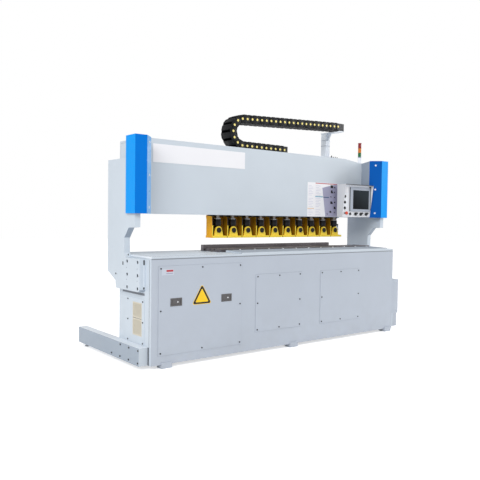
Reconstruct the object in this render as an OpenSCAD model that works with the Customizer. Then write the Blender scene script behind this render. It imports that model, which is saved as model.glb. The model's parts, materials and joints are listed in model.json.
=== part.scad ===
// Plate edge milling machine: a welded base cabinet carries two C-shaped side
// columns and a hollow cross beam. Ten press feet under the beam hold a plate on
// the bed, and a milling carriage runs along the rear of the beam and mills the
// plate's rear edge. A drag chain on top of the beam feeds the carriage.
// Sizes are in mm. X runs along the machine, Y from front to rear, Z is up.
// Sizes and places are taken from the base's front left corner on the floor, and
// module placed() moves each node to the middle of the base.

/* [Base cabinet] */
// Length between the two side columns
base_len = 3410; // [3390:1:3440]
// Depth of the cabinet from front to rear
base_depth = 615; // [600:1:630]
// Height of the cabinet's underside
base_bottom = 35; // [30:1:40]
// Height of the cabinet's top under the table plate
base_top = 995; // [990:1:1000]
// Thickness of the cabinet's welded plates
wall_t = 12; // [8:1:16]
// Place of the left anchor brackets from the cabinet's left end
bracket_left = 160; // [158:1:180]
// Place of the right anchor brackets from the cabinet's right end
bracket_right = 90; // [80:1:92]
// Distance of the anchor holes from the cabinet's ends
anchor_inset = 130; // [126:1:132]
// Radius of the anchor bolt holes
anchor_r = 9; // [7:0.5:11]

/* [Table and bed] */
// Thickness of the table plate
table_t = 23; // [18:1:26]
// Depth of the table plate
table_depth = 750; // [730:1:760]
// Left end of the raised front ledge and of its plate
ledge_x0 = 1016; // [1000:1:1060]
// Height of the raised ledge at its rear edge
ledge_t = 22; // [18:1:26]
// Height of the raised ledge at its front edge
ledge_front_t = 13; // [10:1:16]
// Depth of the raised front ledge
ledge_depth = 265; // [250:1:290]
// Height of the work bed above the table plate
bed_h = 30; // [24:1:36]
// Height of the clamp bar above the table plate
bar_h = 66; // [60:1:70]

/* [Columns and beam] */
// Thickness of the two side columns
column_t = 60; // [50:1:64]
// Height of the beam's underside
beam_bottom = 1401; // [1399:1:1403]
// Height of the beam's top deck
beam_top = 2090; // [2084:1:2090]
// Front face of the beam
beam_front = 405; // [403:1:405]
// Rear face of the beam
beam_rear = 622; // [618:1:622]
// Height of the front plate's upper edge
upstand_top = 2125; // [2110:1:2140]

/* [Press feet] */
// Number of press feet
foot_count = 10; // [10:1:10]
// Spacing of the press feet
foot_pitch = 200; // [198:1:202]
// Place of the first foot's pin
foot_x0 = 1096; // [1090:1:1100]
// Width of one foot
foot_w = 192; // [184:1:194]
// Height of the foot pins in the raised position
foot_pin_z = 1240; // [1238:1:1242]
// Underside of the raised feet
foot_bottom = 1158; // [1156:1:1160]

/* [Carriage] */
// Distance of the spindle from the base's right end, at the right-hand stop
spindle_from_end = 370; // [365:1:380]
// Height of the raised spindle
spindle_z = 1250; // [1248:1:1252]
// Distance of the drive pinion from the base's right end
pinion_from_end = 620; // [618:1:625]
// Number of teeth of the drive pinion
pinion_teeth = 20; // [20:1:20]
// Module of the rack and pinion teeth
tooth_module = 8; // [8:1:8]

/* [Drag chain] */
// Distance between the chain's pins
link_pitch = 70; // [70:1:70]
// Height of the chain links
link_h = 100; // [90:1:100]
// Radius of the bend through the pins
bend_r = 148; // [146:1:150]
// Distance of the bend's middle from the base's right end
bend_from_end = 1932; // [1924:1:1940]
// Height of the middle of the bend
bend_z = 2323; // [2322:1:2326]
// Rise of the upper run towards the carriage
chain_rise = 76; // [70:1:80]

/* [Console] */
// Distance of the console's left edge from the base's right end
console_from_end = 658; // [655:1:668]
// Width of the console
console_w = 510; // [500:1:510]
// Height of the console's lower edge
console_bottom = 1405; // [1403:1:1408]
// Height of the console's upper edge
console_top = 1790; // [1784:1:1796]
// Front edge of the console's face
face_y = 258; // [250:1:270]
// Rear wall of the console
console_rear = 340; // [336:1:350]
// How far the hood stands out at the top of the face
hood_depth = 55; // [40:1:70]

/* [Hidden] */

// Colours
grey = [0.74, 0.77, 0.80];
pale_grey = [0.83, 0.85, 0.87];
blue = [0.02, 0.37, 0.75];
yellow = [0.98, 0.75, 0.10];
black = [0.10, 0.10, 0.11];
dark_steel = [0.33, 0.32, 0.34];
bright_steel = [0.75, 0.76, 0.78];
beige = [0.84, 0.80, 0.70];
white = [0.95, 0.95, 0.96];
red = [0.80, 0.12, 0.10];

// Clearances
slide_gap = 0.5;
screw_gap = 0.2;

// Base
bracket_w = 110;
bracket_proud = 14;
bracket_depth = 84;
bracket_lip_z = 52;
bracket_xs = [bracket_left, base_len / 2 + 33, base_len - bracket_right];
anchor_y = bracket_depth / 2 - bracket_proud - 7;
bulkhead_xs = [1110, 1985, base_len - 510];
seam_y = 31;
seam_w = 6;
seam_depth = 4;
bulkhead_hole = 160;
pad_depth = 40;
pad_z0 = 690;
pad_z1 = 980;
pad_y0 = 100;
pad_y1 = 400;

// Front panels: x0, x1, z0, z1 of the outline
panel_t = 4;
panel_a = [73, 1022, 118, 928];
panel_b = [1205, 1842, 216, 802];
panel_c = [2136, 2790, 212, 800];
panel_edge = 22;
panel_lap = 40;
panel_screw_r = 4;
panel_head_r = 7;
panel_head_h = 4;

// Side filter panel: y0, y1, z0, z1
filter_out = [120, 452, 198, 620];
filter_hole = [165, 331, 278, 580];
filter_split = 435;
filter_mullion = 12;
filter_screw_ys = [143, 429];
filter_screw_zs = [217, 408, 598];
louvre_count = 11;
louvre_tilt = 60;

// Paddle latches
latch_w = 123;
latch_h = 73;
latch_z0 = 559;
latch_xs = [197, 770];
latch_flange = 12;
latch_proud = 3;
latch_depth = 26;
latch_pivot_in = 20;
latch_knuckle_r = 4;

// Table and bed
table_top_z = base_top + table_t;
ledge_x1 = base_len - 110;
rib_x0 = 774;
rib_t = 23;
rib_h = 14;
bed_x0 = 960;
bed_x1 = base_len - 80;
bed_y0 = 306;
bar_x0 = 943;
bar_x1 = base_len - 555;
bar_y0 = 560;
bar_y1 = 610;
slot_w = 18;
slot_depth = 14;

// Columns
column_front = 107;
column_corner_r = 30;
column_bottom = 690;
column_top = 1915;
throat_top = [[207, 1274], [320, 1268]];
throat_bottom = [[beam_front, 1175], [beam_front, 1031], [beam_front - 30, 990]];
column_heel = [[572, 690], [572, 698], [587, 763], [752, 840]];
column_bolt_ys = [146, 347];
column_bolt_zs = [719, 838, 958];
column_bolt_r = 8;
column_head_r = 13;
column_bore_r = 16;
column_bore_depth = 20;

// Beam
beam_plate = 20;
upstand_slope_x = base_len - 464;
upstand_end_x = base_len - 170;
guide_h = 50;
guide_t = 16;
diaphragm_zs = [1540, 2060];
diaphragm_xs = [base_len / 4, base_len / 2, base_len * 3 / 4];
web_slot_y0 = 568;
web_slot_y1 = 600;
foot_row_x0 = foot_x0 - foot_pitch / 2 - 20;
foot_row_x1 = foot_x0 + (foot_count - 1) * foot_pitch + foot_pitch / 2 + 20;

// Feet
lug_r = 42;
lug_foot_w = 118;
pin_r = 16;
pin_head_r = 28;
pin_head_h = 8;
pin_gap = 0.2;
lug_y0 = 498;
front_lug_t = 17;
rear_lug_t = 31;
rod_r = 18;
rod_y = 529;
rod_eye_w = 24;
foot_front_y = 478;
foot_rear_y = 604;
flange_h = 22;
back_y0 = 574;
back_y1 = 594;
back_top = 1393;
web_top = 1500;
web_y0 = 574;
web_y1 = 594;
barrel_r = 44;
barrel_z0 = 1286;
barrel_z1 = 1358;
neck_r = 28;
collar_r = 38;
collar_h = 10;
rod_top = 1452;

// End covers
cover_t = 3;
cover_out = 80;
cover_front = 165;
cover_rear = 345;
cover_bottom = 1400;
cover_top = 2112;
chamfer_x0 = 42;
chamfer_x1 = 145;
flank_front = 277;
cover_screw_zs = [1458, 1755, 2055];
cover_angle = atan2(flank_front - cover_front, chamfer_x1 - chamfer_x0);

// Rear carriage
rail_h = 34;
rail_d = 28;
rail_zs = [1520, 2000];
rail_x0 = 60;
rail_x1 = base_len - 40;
block_len = 130;
block_h = 90;
block_y0 = 632;
saddle_y0 = 690;
saddle_y1 = 715;
spindle_x = base_len - spindle_from_end;
pinion_x = base_len - pinion_from_end;
saddle_x0 = base_len - 710;
saddle_x1 = base_len - 150;
saddle_z0 = 1430;
saddle_z1 = 2060;
pinion_z = 1810;
pitch_r = pinion_teeth * tooth_module / 2;
tooth_pitch = PI * tooth_module;
pressure = 20;
backlash = 0.6;
pinion_y0 = 624;
pinion_y1 = 650;
shaft_r = 20;
rack_x0 = base_len - 2550;
rack_count = 91;
rack_y1 = 652;
rack_top = 1930;
way_x0 = spindle_x - 190;
way_x1 = spindle_x + 190;
way_w = 30;
way_lip = 10;
way_lip_y0 = 735;
way_y1 = 745;
slide_z0 = 1395;
slide_z1 = 1890;
slide_y1 = 752;
cheek_xs = [spindle_x - 115, spindle_x + 90];
cheek_t = 25;
cheek_y1 = 800;
cheek_z0 = 1190;
cheek_z1 = 1420;
tilt_y = 760;
trunnion_r = 20;
head_x0 = spindle_x - 89;
head_x1 = spindle_x + 89;
head_half_h = 65;
head_y0 = 660;
head_y1 = 830;
cutter_r = 62;
cutter_y0 = 628;
cutter_y1 = 652;
insert_count = 8;
spindle_r = 25;
spindle_motor_r = 60;
spindle_motor_y1 = 940;

// Chain
chain_y0 = 570;
chain_y1 = 743;
plate_t = 5;
plate_gap = 0.5;
link_pin_r = 8;
link_end_r = 34;
link_shoulder = 5;
link_bar_half = 20;
bend_x = base_len - bend_from_end;
lower_end_w = 48;
chain_foot_x = 14;
step_angle = 2 * asin(link_pitch / 2 / bend_r);
bend_links = 6;
loop_pins = [for (k = [0:bend_links]) loop_pin(k)];
upper_links = 22;
upper_pitch = 69.9;
lower_links = 9;
post_x0 = base_len - 393;
post_x1 = base_len - 318;
post_y0 = 800;
post_y1 = 885;
post_z0 = 1950;
arm_z0 = 2484;
arm_z1 = 2496;
arm_x0 = base_len - 400;
arm_x1 = base_len - 305;
tray_x0 = 250;
tray_x1 = base_len - 1150;
tray_y0 = 560;
tray_y1 = 750;
tray_t = 3;

// Console
console_x0 = base_len - console_from_end;
console_mount_in = 110;
screen_depth = 50;
screen_proud = 14;
shell_t = 4;
cheek_sheet = 3;
hood_t = 9;
hood_over = 4;
screen = [131, 498, 22, 316];
lcd = [180, 476, 56, 289];
button_r = 11;
selector_r = 6;
button_u = 47;
button_vs = [137, 208, 277];
estop_u = 54;
estop_v = 339;
row_v = 348;
row_us = [145, 242, 339, 438];

// Signal tower: height of each ring's upper edge, and its radius
tower_x = base_len - 112;
tower_y = 470;
tower_rings = [[2098, 30], [2167, 23], [2229, 21], [2232, 23], [2287, 21], [2290, 23],
               [2347, 21], [2355, 23]];

// Right side box
box_w = 200;
box_plinth_w = 178;
box_y0 = 60;
box_y1 = 560;
box_z0 = 197;
box_z1 = 625;

// Foot beams
foot_beam_w = 90;
foot_beam_y0 = 55;
foot_beam_y1 = 1375;
foot_beam_top = 197;
foot_bolts = [[84, 171], [257, 171], [429, 171], [89, 58], [263, 58], [433, 58], [610, 58]];
outrigger_pad_y = 1263;

// Helpers

module placed() {
    translate([-base_len / 2, -base_depth / 2, 0]) children();
}

// A block between two corners
module bar(x0, x1, y0, y1, z0, z1) {
    translate([x0, y0, z0]) cube([x1 - x0, y1 - y0, z1 - z0]);
}

// A profile in Y and Z, drawn along X
module along_x(x0, length) {
    translate([x0, 0, 0]) rotate([90, 0, 90]) linear_extrude(length) children();
}

// A profile in X and Z, drawn from y0 to y1
module along_y(y0, y1) {
    translate([0, y1, 0]) rotate([90, 0, 0]) linear_extrude(y1 - y0) children();
}

module rod_x(y, z, r, x0, x1) {
    translate([x0, y, z]) rotate([0, 90, 0]) cylinder(h = x1 - x0, r = r, $fn = 48);
}

module rod_y(x, z, r, y0, y1) {
    translate([x, y0, z]) rotate([-90, 0, 0]) cylinder(h = y1 - y0, r = r, $fn = 48);
}

module rod_z(x, y, r, z0, z1) {
    translate([x, y, z0]) cylinder(h = z1 - z0, r = r, $fn = 48);
}

// The same piece at the left and, mirrored, at the right end of the machine
module both_ends() {
    children();
    translate([base_len, 0, 0]) mirror([1, 0, 0]) children();
}

// The same piece at the front and, mirrored, at the rear of the cabinet
module both_sides() {
    children();
    translate([0, base_depth, 0]) mirror([0, 1, 0]) children();
}

// Screw places round the edge of a front panel
module panel_screw_places(p) {
    for (x = [p[0] + panel_edge, (p[0] + p[1]) / 2, p[1] - panel_edge])
        for (z = [p[2] + panel_edge, (p[2] + p[3]) / 2, p[3] - panel_edge])
            if (abs(x - (p[0] + p[1]) / 2) > 1 || abs(z - (p[2] + p[3]) / 2) > 1)
                translate([x, 0, z]) children();
}

module screw_hole(y0, y1) {
    rod_y(0, 0, panel_screw_r + screw_gap, y0, y1);
}

// Base cabinet

module anchor_bracket(x) {
    half = bracket_w / 2;
    bar(x - half, x + half, -bracket_proud, bracket_depth - bracket_proud, 0, base_bottom);
    bar(x - half, x + half, -bracket_proud, 0, base_bottom, bracket_lip_z);
}

module cabinet_shell() {
    difference() {
        bar(0, base_len, 0, base_depth, base_bottom, base_top);
        bar(wall_t, base_len - wall_t, wall_t, base_depth - wall_t,
            base_bottom + wall_t, base_top - wall_t);
    }
}

module bulkhead(x) {
    difference() {
        bar(x, x + wall_t, wall_t, base_depth - wall_t, base_bottom + wall_t, base_top - wall_t);
        rod_x(base_depth / 2, (base_bottom + base_top) / 2, bulkhead_hole, x - 1, x + wall_t + 1);
    }
}

module panel_window(p) {
    bar(p[0] + panel_lap, p[1] - panel_lap, -1, wall_t + 1, p[2] + panel_lap, p[3] - panel_lap);
    panel_screw_places(p) screw_hole(-1, wall_t + 1);
}

module base_cabinet() {
    color(grey) placed() difference() {
        union() {
            cabinet_shell();
            for (x = bulkhead_xs) bulkhead(x);
            for (x = bracket_xs) both_sides() anchor_bracket(x);
            both_ends() bar(wall_t, wall_t + pad_depth, pad_y0, pad_y1, pad_z0, pad_z1);
        }
        panel_window(panel_a);
        panel_window(panel_b);
        panel_window(panel_c);
        for (x = [anchor_inset, base_len - anchor_inset])
            both_sides() rod_z(x, anchor_y, anchor_r, -1, base_bottom + wall_t + 1);
        bar(-1, wall_t + 1, filter_hole[0], filter_hole[1], filter_hole[2], filter_hole[3]);
        for (y = filter_screw_ys)
            for (z = filter_screw_zs)
                rod_x(y, z, panel_screw_r + screw_gap, -1, wall_t + 1);
        both_ends()
            for (y = column_bolt_ys)
                for (z = column_bolt_zs)
                    rod_x(y, z, column_bolt_r + screw_gap, -1, wall_t + pad_depth + 1);
        for (p = foot_bolts) rod_x(p[0], p[1], panel_screw_r + screw_gap, -1, wall_t + 1);
        both_ends()
            bar(-1, seam_depth, seam_y, seam_y + seam_w, base_bottom - 1, base_top - 12);
    }
}

module table_top() {
    color(pale_grey) placed() {
        bar(0, base_len, 0, table_depth, base_top, table_top_z);
        along_x(ledge_x0, ledge_x1 - ledge_x0) polygon([
            [0, table_top_z], [ledge_depth, table_top_z], [ledge_depth, table_top_z + ledge_t],
            [0, table_top_z + ledge_front_t]
        ]);
        bar(rib_x0, rib_x0 + rib_t, bed_y0, table_depth, table_top_z, table_top_z + rib_h);
    }
}

module work_bed() {
    color(dark_steel) placed() difference() {
        bar(bed_x0, bed_x1, bed_y0, bar_y0, table_top_z, table_top_z + bed_h);
        for (y = [bed_y0 + 70, bed_y0 + 150])
            bar(bed_x0 - 1, bed_x1 + 1, y, y + slot_w,
                table_top_z + bed_h - slot_depth, table_top_z + bed_h + 1);
    }
}

module clamp_bar() {
    color(dark_steel) placed()
        bar(bar_x0, bar_x1, bar_y0, bar_y1, table_top_z, table_top_z + bar_h);
}

// Panels, latches and filter

module panel_sheet(p) {
    difference() {
        bar(p[0], p[1], -panel_t, 0, p[2], p[3]);
        panel_screw_places(p) screw_hole(-panel_t - 1, 1);
    }
}

module panel_a() {
    color(grey) placed() difference() {
        panel_sheet(panel_a);
        for (x = latch_xs)
            bar(x + latch_flange, x + latch_w - latch_flange, -panel_t - 1, 1,
                latch_z0 + latch_flange, latch_z0 + latch_h - latch_flange);
    }
}

module small_panels() {
    color(grey) placed() {
        panel_sheet(panel_b);
        panel_sheet(panel_c);
    }
}

// A socket head screw pointing to +Y, with its head in front of y = 0
module panel_screw() {
    difference() {
        union() {
            rod_y(0, 0, panel_head_r, -panel_head_h, 0);
            rod_y(0, 0, panel_screw_r, 0, panel_t + wall_t);
        }
        translate([0, -panel_head_h - 1, 0]) rotate([-90, 0, 0]) cylinder(h = 3, r = 3.4, $fn = 6);
    }
}

module panel_screws() {
    color(dark_steel) placed() {
        for (p = [panel_a, panel_b, panel_c])
            panel_screw_places(p) translate([0, -panel_t, 0]) panel_screw();
        for (y = filter_screw_ys)
            for (z = filter_screw_zs)
                translate([-panel_t, y, z]) rotate([0, 0, -90]) panel_screw();
    }
}

module filter_panel() {
    color(grey) placed() difference() {
        bar(-panel_t, 0, filter_out[0], filter_out[1], filter_out[2], filter_out[3]);
        bar(-panel_t - 1, 1, filter_hole[0], filter_hole[1],
            filter_hole[2], filter_split - filter_mullion / 2);
        bar(-panel_t - 1, 1, filter_hole[0], filter_hole[1],
            filter_split + filter_mullion / 2, filter_hole[3]);
        for (y = filter_screw_ys)
            for (z = filter_screw_zs)
                rod_x(y, z, panel_screw_r + screw_gap, -panel_t - 1, 1);
    }
}

// A louvred inset: a flanged frame with slanting slats
module grille(z0, z1) {
    rim = 8;
    y0 = filter_hole[0];
    y1 = filter_hole[1];
    pitch = (z1 - z0 - 2 * rim) / louvre_count;
    difference() {
        bar(-panel_t, 8, y0, y1, z0, z1);
        bar(-panel_t - 1, 9, y0 + rim, y1 - rim, z0 + rim, z1 - rim);
    }
    for (i = [0:louvre_count - 1])
        translate([2, y0 + rim, z0 + rim + (i + 0.5) * pitch])
            rotate([0, louvre_tilt, 0])
                translate([-6, 0, -1]) cube([12, y1 - y0 - 2 * rim, 2]);
}

module filter_grilles() {
    color(beige) placed() {
        grille(filter_hole[2], filter_split - filter_mullion / 2);
        grille(filter_split + filter_mullion / 2, filter_hole[3]);
    }
}

module latch_frame(x) {
    z = latch_z0;
    in = latch_flange;
    fit = 0.5;
    wall = 2;
    difference() {
        union() {
            bar(x, x + latch_w, -panel_t - latch_proud, -panel_t, z, z + latch_h);
            bar(x + in + fit, x + latch_w - in - fit, -panel_t, latch_depth,
                z + in + fit, z + latch_h - in - fit);
        }
        bar(x + in + wall, x + latch_w - in - wall, -panel_t - latch_proud - 1,
            latch_depth - wall, z + in + wall, z + latch_h - in - wall);
        rod_z(x + latch_pivot_in, 0, 2 + slide_gap, z + in, z + latch_h - in);
    }
}

module latch_frames() {
    color(dark_steel) placed()
        for (x = latch_xs) latch_frame(x);
}

module latch_paddle(x) {
    z0 = latch_z0 + latch_flange + 3;
    z1 = latch_z0 + latch_h - latch_flange - 3;
    px = x + latch_pivot_in;
    color(dark_steel) placed() {
        rod_z(px, 0, latch_knuckle_r, z0, z1);
        rod_z(px, 0, 2, z0 - 2, z1 + 2);
        bar(px, x + latch_w - latch_flange - 4, -5, 0, z0, z1);
        rod_y(x + latch_w - 45, (z0 + z1) / 2, 7, -6.5, -4);
    }
}

module latch_paddle_left() {
    latch_paddle(latch_xs[0]);
}

module latch_paddle_right() {
    latch_paddle(latch_xs[1]);
}

// Columns and beam

module column_profile() {
    r = column_corner_r;
    polygon(concat(
        [[column_front + r, column_bottom]], column_heel,
        [[column_heel[3][0], column_top], [throat_top[0][0], column_top]],
        throat_top, throat_bottom,
        [[column_front, throat_bottom[2][1]], [column_front, column_bottom + r]]
    ));
    translate([column_front + r, column_bottom + r]) circle(r = r, $fn = 48);
}

module side_columns() {
    color(grey) placed() both_ends() difference() {
        along_x(-column_t, column_t) column_profile();
        for (y = column_bolt_ys)
            for (z = column_bolt_zs) {
                rod_x(y, z, column_bolt_r + screw_gap, -column_t - 1, 1);
                rod_x(y, z, column_bore_r, -column_t - 1, -column_t + column_bore_depth);
            }
    }
}

module column_bolt(y, z) {
    head_x1 = -column_t + column_bore_depth;
    difference() {
        union() {
            rod_x(y, z, column_head_r, head_x1 - 14, head_x1);
            rod_x(y, z, column_bolt_r, head_x1, wall_t + pad_depth - 6);
        }
        translate([head_x1 - 15, y, z]) rotate([0, 90, 0]) cylinder(h = 9, r = 7, $fn = 6);
    }
}

module column_bolts() {
    color(black) placed() both_ends()
        for (y = column_bolt_ys)
            for (z = column_bolt_zs)
                column_bolt(y, z);
}

module diaphragm(x) {
    difference() {
        bar(x, x + wall_t, beam_front + 10, beam_rear - 10, diaphragm_zs[0], beam_top - 10);
        rod_x((beam_front + beam_rear) / 2, (diaphragm_zs[0] + diaphragm_zs[1]) / 2,
              60, x - 1, x + wall_t + 1);
    }
}

module cross_beam() {
    color(pale_grey) placed() {
        difference() {
            union() {
                bar(0, base_len, beam_front, beam_rear, beam_bottom, beam_top);
                along_y(beam_front, beam_front + beam_plate) polygon([
                    [0, beam_bottom], [base_len, beam_bottom], [base_len, beam_top],
                    [upstand_end_x, beam_top], [upstand_slope_x, upstand_top], [0, upstand_top]
                ]);
            }
            bar(-1, base_len + 1, beam_front + beam_plate, beam_rear - beam_plate,
                beam_bottom + beam_plate, beam_top - beam_plate);
            bar(foot_row_x0, foot_row_x1, web_slot_y0, web_slot_y1,
                beam_bottom - 1, beam_bottom + beam_plate + 1);
            for (i = [0:foot_count - 1])
                rod_z(foot_x0 + i * foot_pitch, rod_y, rod_r + 4,
                      beam_bottom - 1, beam_bottom + beam_plate + 1);
        }
        for (x = diaphragm_xs) diaphragm(x);
    }
}

// An inverted channel on which the chain's lower run lies
module chain_tray() {
    color(grey) placed() difference() {
        bar(tray_x0, tray_x1, tray_y0, tray_y1, beam_top, upstand_top);
        bar(tray_x0 - 1, tray_x1 + 1, tray_y0 + tray_t, tray_y1 - tray_t,
            beam_top - 1, upstand_top - tray_t);
    }
}

// Bars inside the beam that guide the feet's webs
module foot_guides() {
    z0 = beam_bottom + beam_plate;
    color(dark_steel) placed() {
        bar(foot_row_x0, foot_row_x1, web_y0 - slide_gap - guide_t, web_y0 - slide_gap,
            z0, z0 + guide_h);
        bar(foot_row_x0, foot_row_x1, web_y1 + slide_gap, beam_rear - beam_plate,
            z0, z0 + guide_h);
    }
}

// End covers

module cover_profile() {
    run = cover_t * tan(cover_angle / 2);
    end = cover_t / sin(cover_angle);
    polygon([
        [-cover_out, cover_rear], [-cover_out, cover_front], [chamfer_x0, cover_front],
        [chamfer_x1, flank_front], [chamfer_x1 - end, flank_front],
        [chamfer_x0 - run, cover_front + cover_t],
        [-cover_out + cover_t, cover_front + cover_t],
        [-cover_out + cover_t, cover_rear - cover_t], [-column_t, cover_rear - cover_t],
        [-column_t, cover_rear]
    ]);
}

module cover_lid() {
    polygon([
        [-cover_out, cover_rear], [-cover_out, cover_front], [chamfer_x0, cover_front],
        [chamfer_x1, flank_front], [0, flank_front], [0, cover_rear]
    ]);
}

// Places of the round head screws in the middle of the chamfer
module cover_screw_places() {
    for (z = cover_screw_zs)
        translate([(chamfer_x0 + chamfer_x1) / 2, (cover_front + flank_front) / 2, z])
            rotate([0, 0, cover_angle]) children();
}

module end_covers() {
    color(blue) placed() both_ends() difference() {
        union() {
            translate([0, 0, cover_bottom])
                linear_extrude(cover_top - cover_bottom) cover_profile();
            translate([0, 0, cover_top - cover_t]) linear_extrude(cover_t) cover_lid();
        }
        cover_screw_places() rod_y(0, 0, panel_screw_r + screw_gap, -1, cover_t + 1);
    }
}

module cover_screws() {
    color(white) placed() both_ends() cover_screw_places() {
        difference() {
            rod_y(0, 0, 11, -6, 0);
            translate([0, -7, 0]) rotate([-90, 0, 0]) cylinder(h = 4, r = 4, $fn = 6);
        }
        rod_y(0, 0, panel_screw_r, 0, 14);
    }
}

// Sheet boxes that carry the covers on the beam's front face
module cover_brackets() {
    color(grey) placed() both_ends() difference() {
        bar(0, chamfer_x1, flank_front, beam_front, beam_bottom, cover_top - cover_t);
        bar(cover_t, chamfer_x1 - cover_t, flank_front + cover_t, beam_front + 1,
            beam_bottom + cover_t, cover_top - 2 * cover_t);
    }
}

// Press feet

module foot_lug(x, y0, y1) {
    foot_top = foot_bottom + flange_h;
    along_y(y0, y1) difference() {
        union() {
            translate([x, foot_pin_z]) circle(r = lug_r, $fn = 64);
            polygon([
                [x - lug_foot_w / 2, foot_top], [x + lug_foot_w / 2, foot_top],
                [x + lug_r * cos(20), foot_pin_z + lug_r * sin(20)],
                [x - lug_r * cos(20), foot_pin_z + lug_r * sin(20)]
            ]);
        }
        translate([x, foot_pin_z]) circle(r = pin_r + pin_gap, $fn = 48);
    }
}

// The foot's side rib: wide at the flange, narrow at the beam, flared at its top
module rib_profile() {
    foot_top = foot_bottom + flange_h;
    polygon([
        [foot_front_y + 12, foot_top], [foot_front_y + 30, foot_top + 40],
        [back_y0 - 22, foot_top + 110], [back_y0 - 22, back_top - 14],
        [back_y0 - 30, back_top], [foot_rear_y, back_top], [foot_rear_y - 2, back_top - 14],
        [back_y1, back_top - 40], [back_y1, foot_top]
    ]);
}

module foot_casting(x) {
    half = foot_w / 2;
    rib_t = 12;
    foot_top = foot_bottom + flange_h;
    difference() {
        bar(x - half, x + half, foot_front_y, foot_rear_y, foot_bottom, foot_top);
        along_x(x - half - 1, foot_w + 2) polygon([
            [foot_front_y - 1, foot_top - 8], [foot_front_y + 8, foot_top + 1],
            [foot_front_y - 1, foot_top + 1]
        ]);
    }
    difference() {
        bar(x - half, x + half, back_y0, back_y1, foot_top, back_top);
        rod_y(x, foot_pin_z, pin_r + pin_gap, back_y0 - 1, back_y1 + 1);
    }
    for (side = [x - half, x + half - rib_t])
        along_x(side, rib_t) rib_profile();
    bar(x - half, x + half, web_y0, web_y1, back_top, web_top);
    foot_lug(x, lug_y0, lug_y0 + front_lug_t);
    foot_lug(x, back_y0 - rear_lug_t, back_y0);
}

module foot_pin(x) {
    head_y = lug_y0 - pin_gap;
    difference() {
        union() {
            rod_y(x, foot_pin_z, pin_r, head_y, back_y1);
            rod_y(x, foot_pin_z, pin_head_r, head_y - pin_head_h, head_y);
        }
        rod_y(x, foot_pin_z, 7, head_y - pin_head_h - 1, head_y - pin_head_h + 3);
    }
}

module foot_rod(x) {
    difference() {
        union() {
            rod_y(x, foot_pin_z, pin_r + 12, rod_y - rod_eye_w / 2, rod_y + rod_eye_w / 2);
            rod_z(x, rod_y, rod_r, foot_pin_z, rod_top);
        }
        rod_y(x, foot_pin_z, pin_r + pin_gap, rod_y - 30, rod_y + 30);
    }
}

module press_foot(i) {
    x = foot_x0 + (i - 1) * foot_pitch;
    color(yellow) placed() {
        foot_casting(x);
        foot_pin(x);
        foot_rod(x);
    }
}

// Cylinder barrels with the bright necks that hang them under the beam
module clamp_cylinder(x) {
    difference() {
        union() {
            rod_z(x, rod_y, barrel_r - 5, barrel_z0, barrel_z0 + 6);
            rod_z(x, rod_y, barrel_r, barrel_z0 + 6, barrel_z1 - 22);
            rod_z(x, rod_y, barrel_r - 3, barrel_z1 - 22, barrel_z1 - 18);
            rod_z(x, rod_y, barrel_r, barrel_z1 - 18, barrel_z1);
            rod_z(x, rod_y, collar_r, barrel_z1, barrel_z1 + collar_h);
            rod_z(x, rod_y, neck_r, barrel_z1 + collar_h, beam_bottom);
        }
        rod_z(x, rod_y, rod_r + slide_gap, barrel_z0 - 1, beam_bottom + 1);
    }
}

module clamp_cylinders() {
    color(black) placed()
        for (i = [0:foot_count - 1])
            clamp_cylinder(foot_x0 + i * foot_pitch);
}

// Rear carriage

module carriage_rails() {
    color(bright_steel) placed()
        for (z = rail_zs)
            bar(rail_x0, rail_x1, beam_rear, beam_rear + rail_d, z - rail_h / 2, z + rail_h / 2);
}

// Half tooth thickness of the rack at height h above its pitch line
function rack_half(h) = tooth_pitch / 4 - backlash / 4 - h * tan(pressure);

module drive_rack() {
    pitch_z = pinion_z + pitch_r;
    tip = pitch_z - tooth_module;
    root = pitch_z + 1.25 * tooth_module;
    first = pinion_x + tooth_pitch / 2 - tooth_pitch * round((pinion_x - rack_x0) / tooth_pitch);
    last = first + (rack_count - 1) * tooth_pitch;
    teeth = [for (i = [0:rack_count - 1]) let (x = first + i * tooth_pitch) each [
        [x - rack_half(-1.25 * tooth_module), root], [x - rack_half(tooth_module), tip],
        [x + rack_half(tooth_module), tip], [x + rack_half(-1.25 * tooth_module), root]
    ]];
    color(bright_steel) placed() along_y(beam_rear, rack_y1)
        polygon(concat([[first - 20, rack_top], [first - 20, root]], teeth,
                       [[last + 20, root], [last + 20, rack_top]]));
}

// Involute tooth flank: angle in degrees from the tooth's middle at radius r
base_r = pitch_r * cos(pressure);
function inv(a) = tan(a) * 180 / PI - a;
function flank(r) = 90 / pinion_teeth - backlash / 4 / pitch_r * 180 / PI
    + inv(pressure) - inv(acos(base_r / max(r, base_r)));
function polar(r, a) = [r * sin(a), r * cos(a)];

module pinion_profile() {
    root_r = pitch_r - 1.25 * tooth_module;
    tip_r = pitch_r + tooth_module;
    radii = [root_r, base_r, base_r + 3, base_r + 7, pitch_r + 4, tip_r];
    polygon([for (k = [0:pinion_teeth - 1]) let (a = k * 360 / pinion_teeth) each concat(
        [for (r = radii) polar(r, a - flank(r))],
        [for (j = [len(radii) - 1:-1:0]) polar(radii[j], a + flank(radii[j]))]
    )]);
}

module drive_pinion() {
    color(bright_steel) placed() {
        along_y(pinion_y0, pinion_y1) translate([pinion_x, pinion_z]) pinion_profile();
        rod_y(pinion_x, pinion_z, shaft_r, pinion_y1, saddle_y1 + 40);
    }
}

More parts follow.
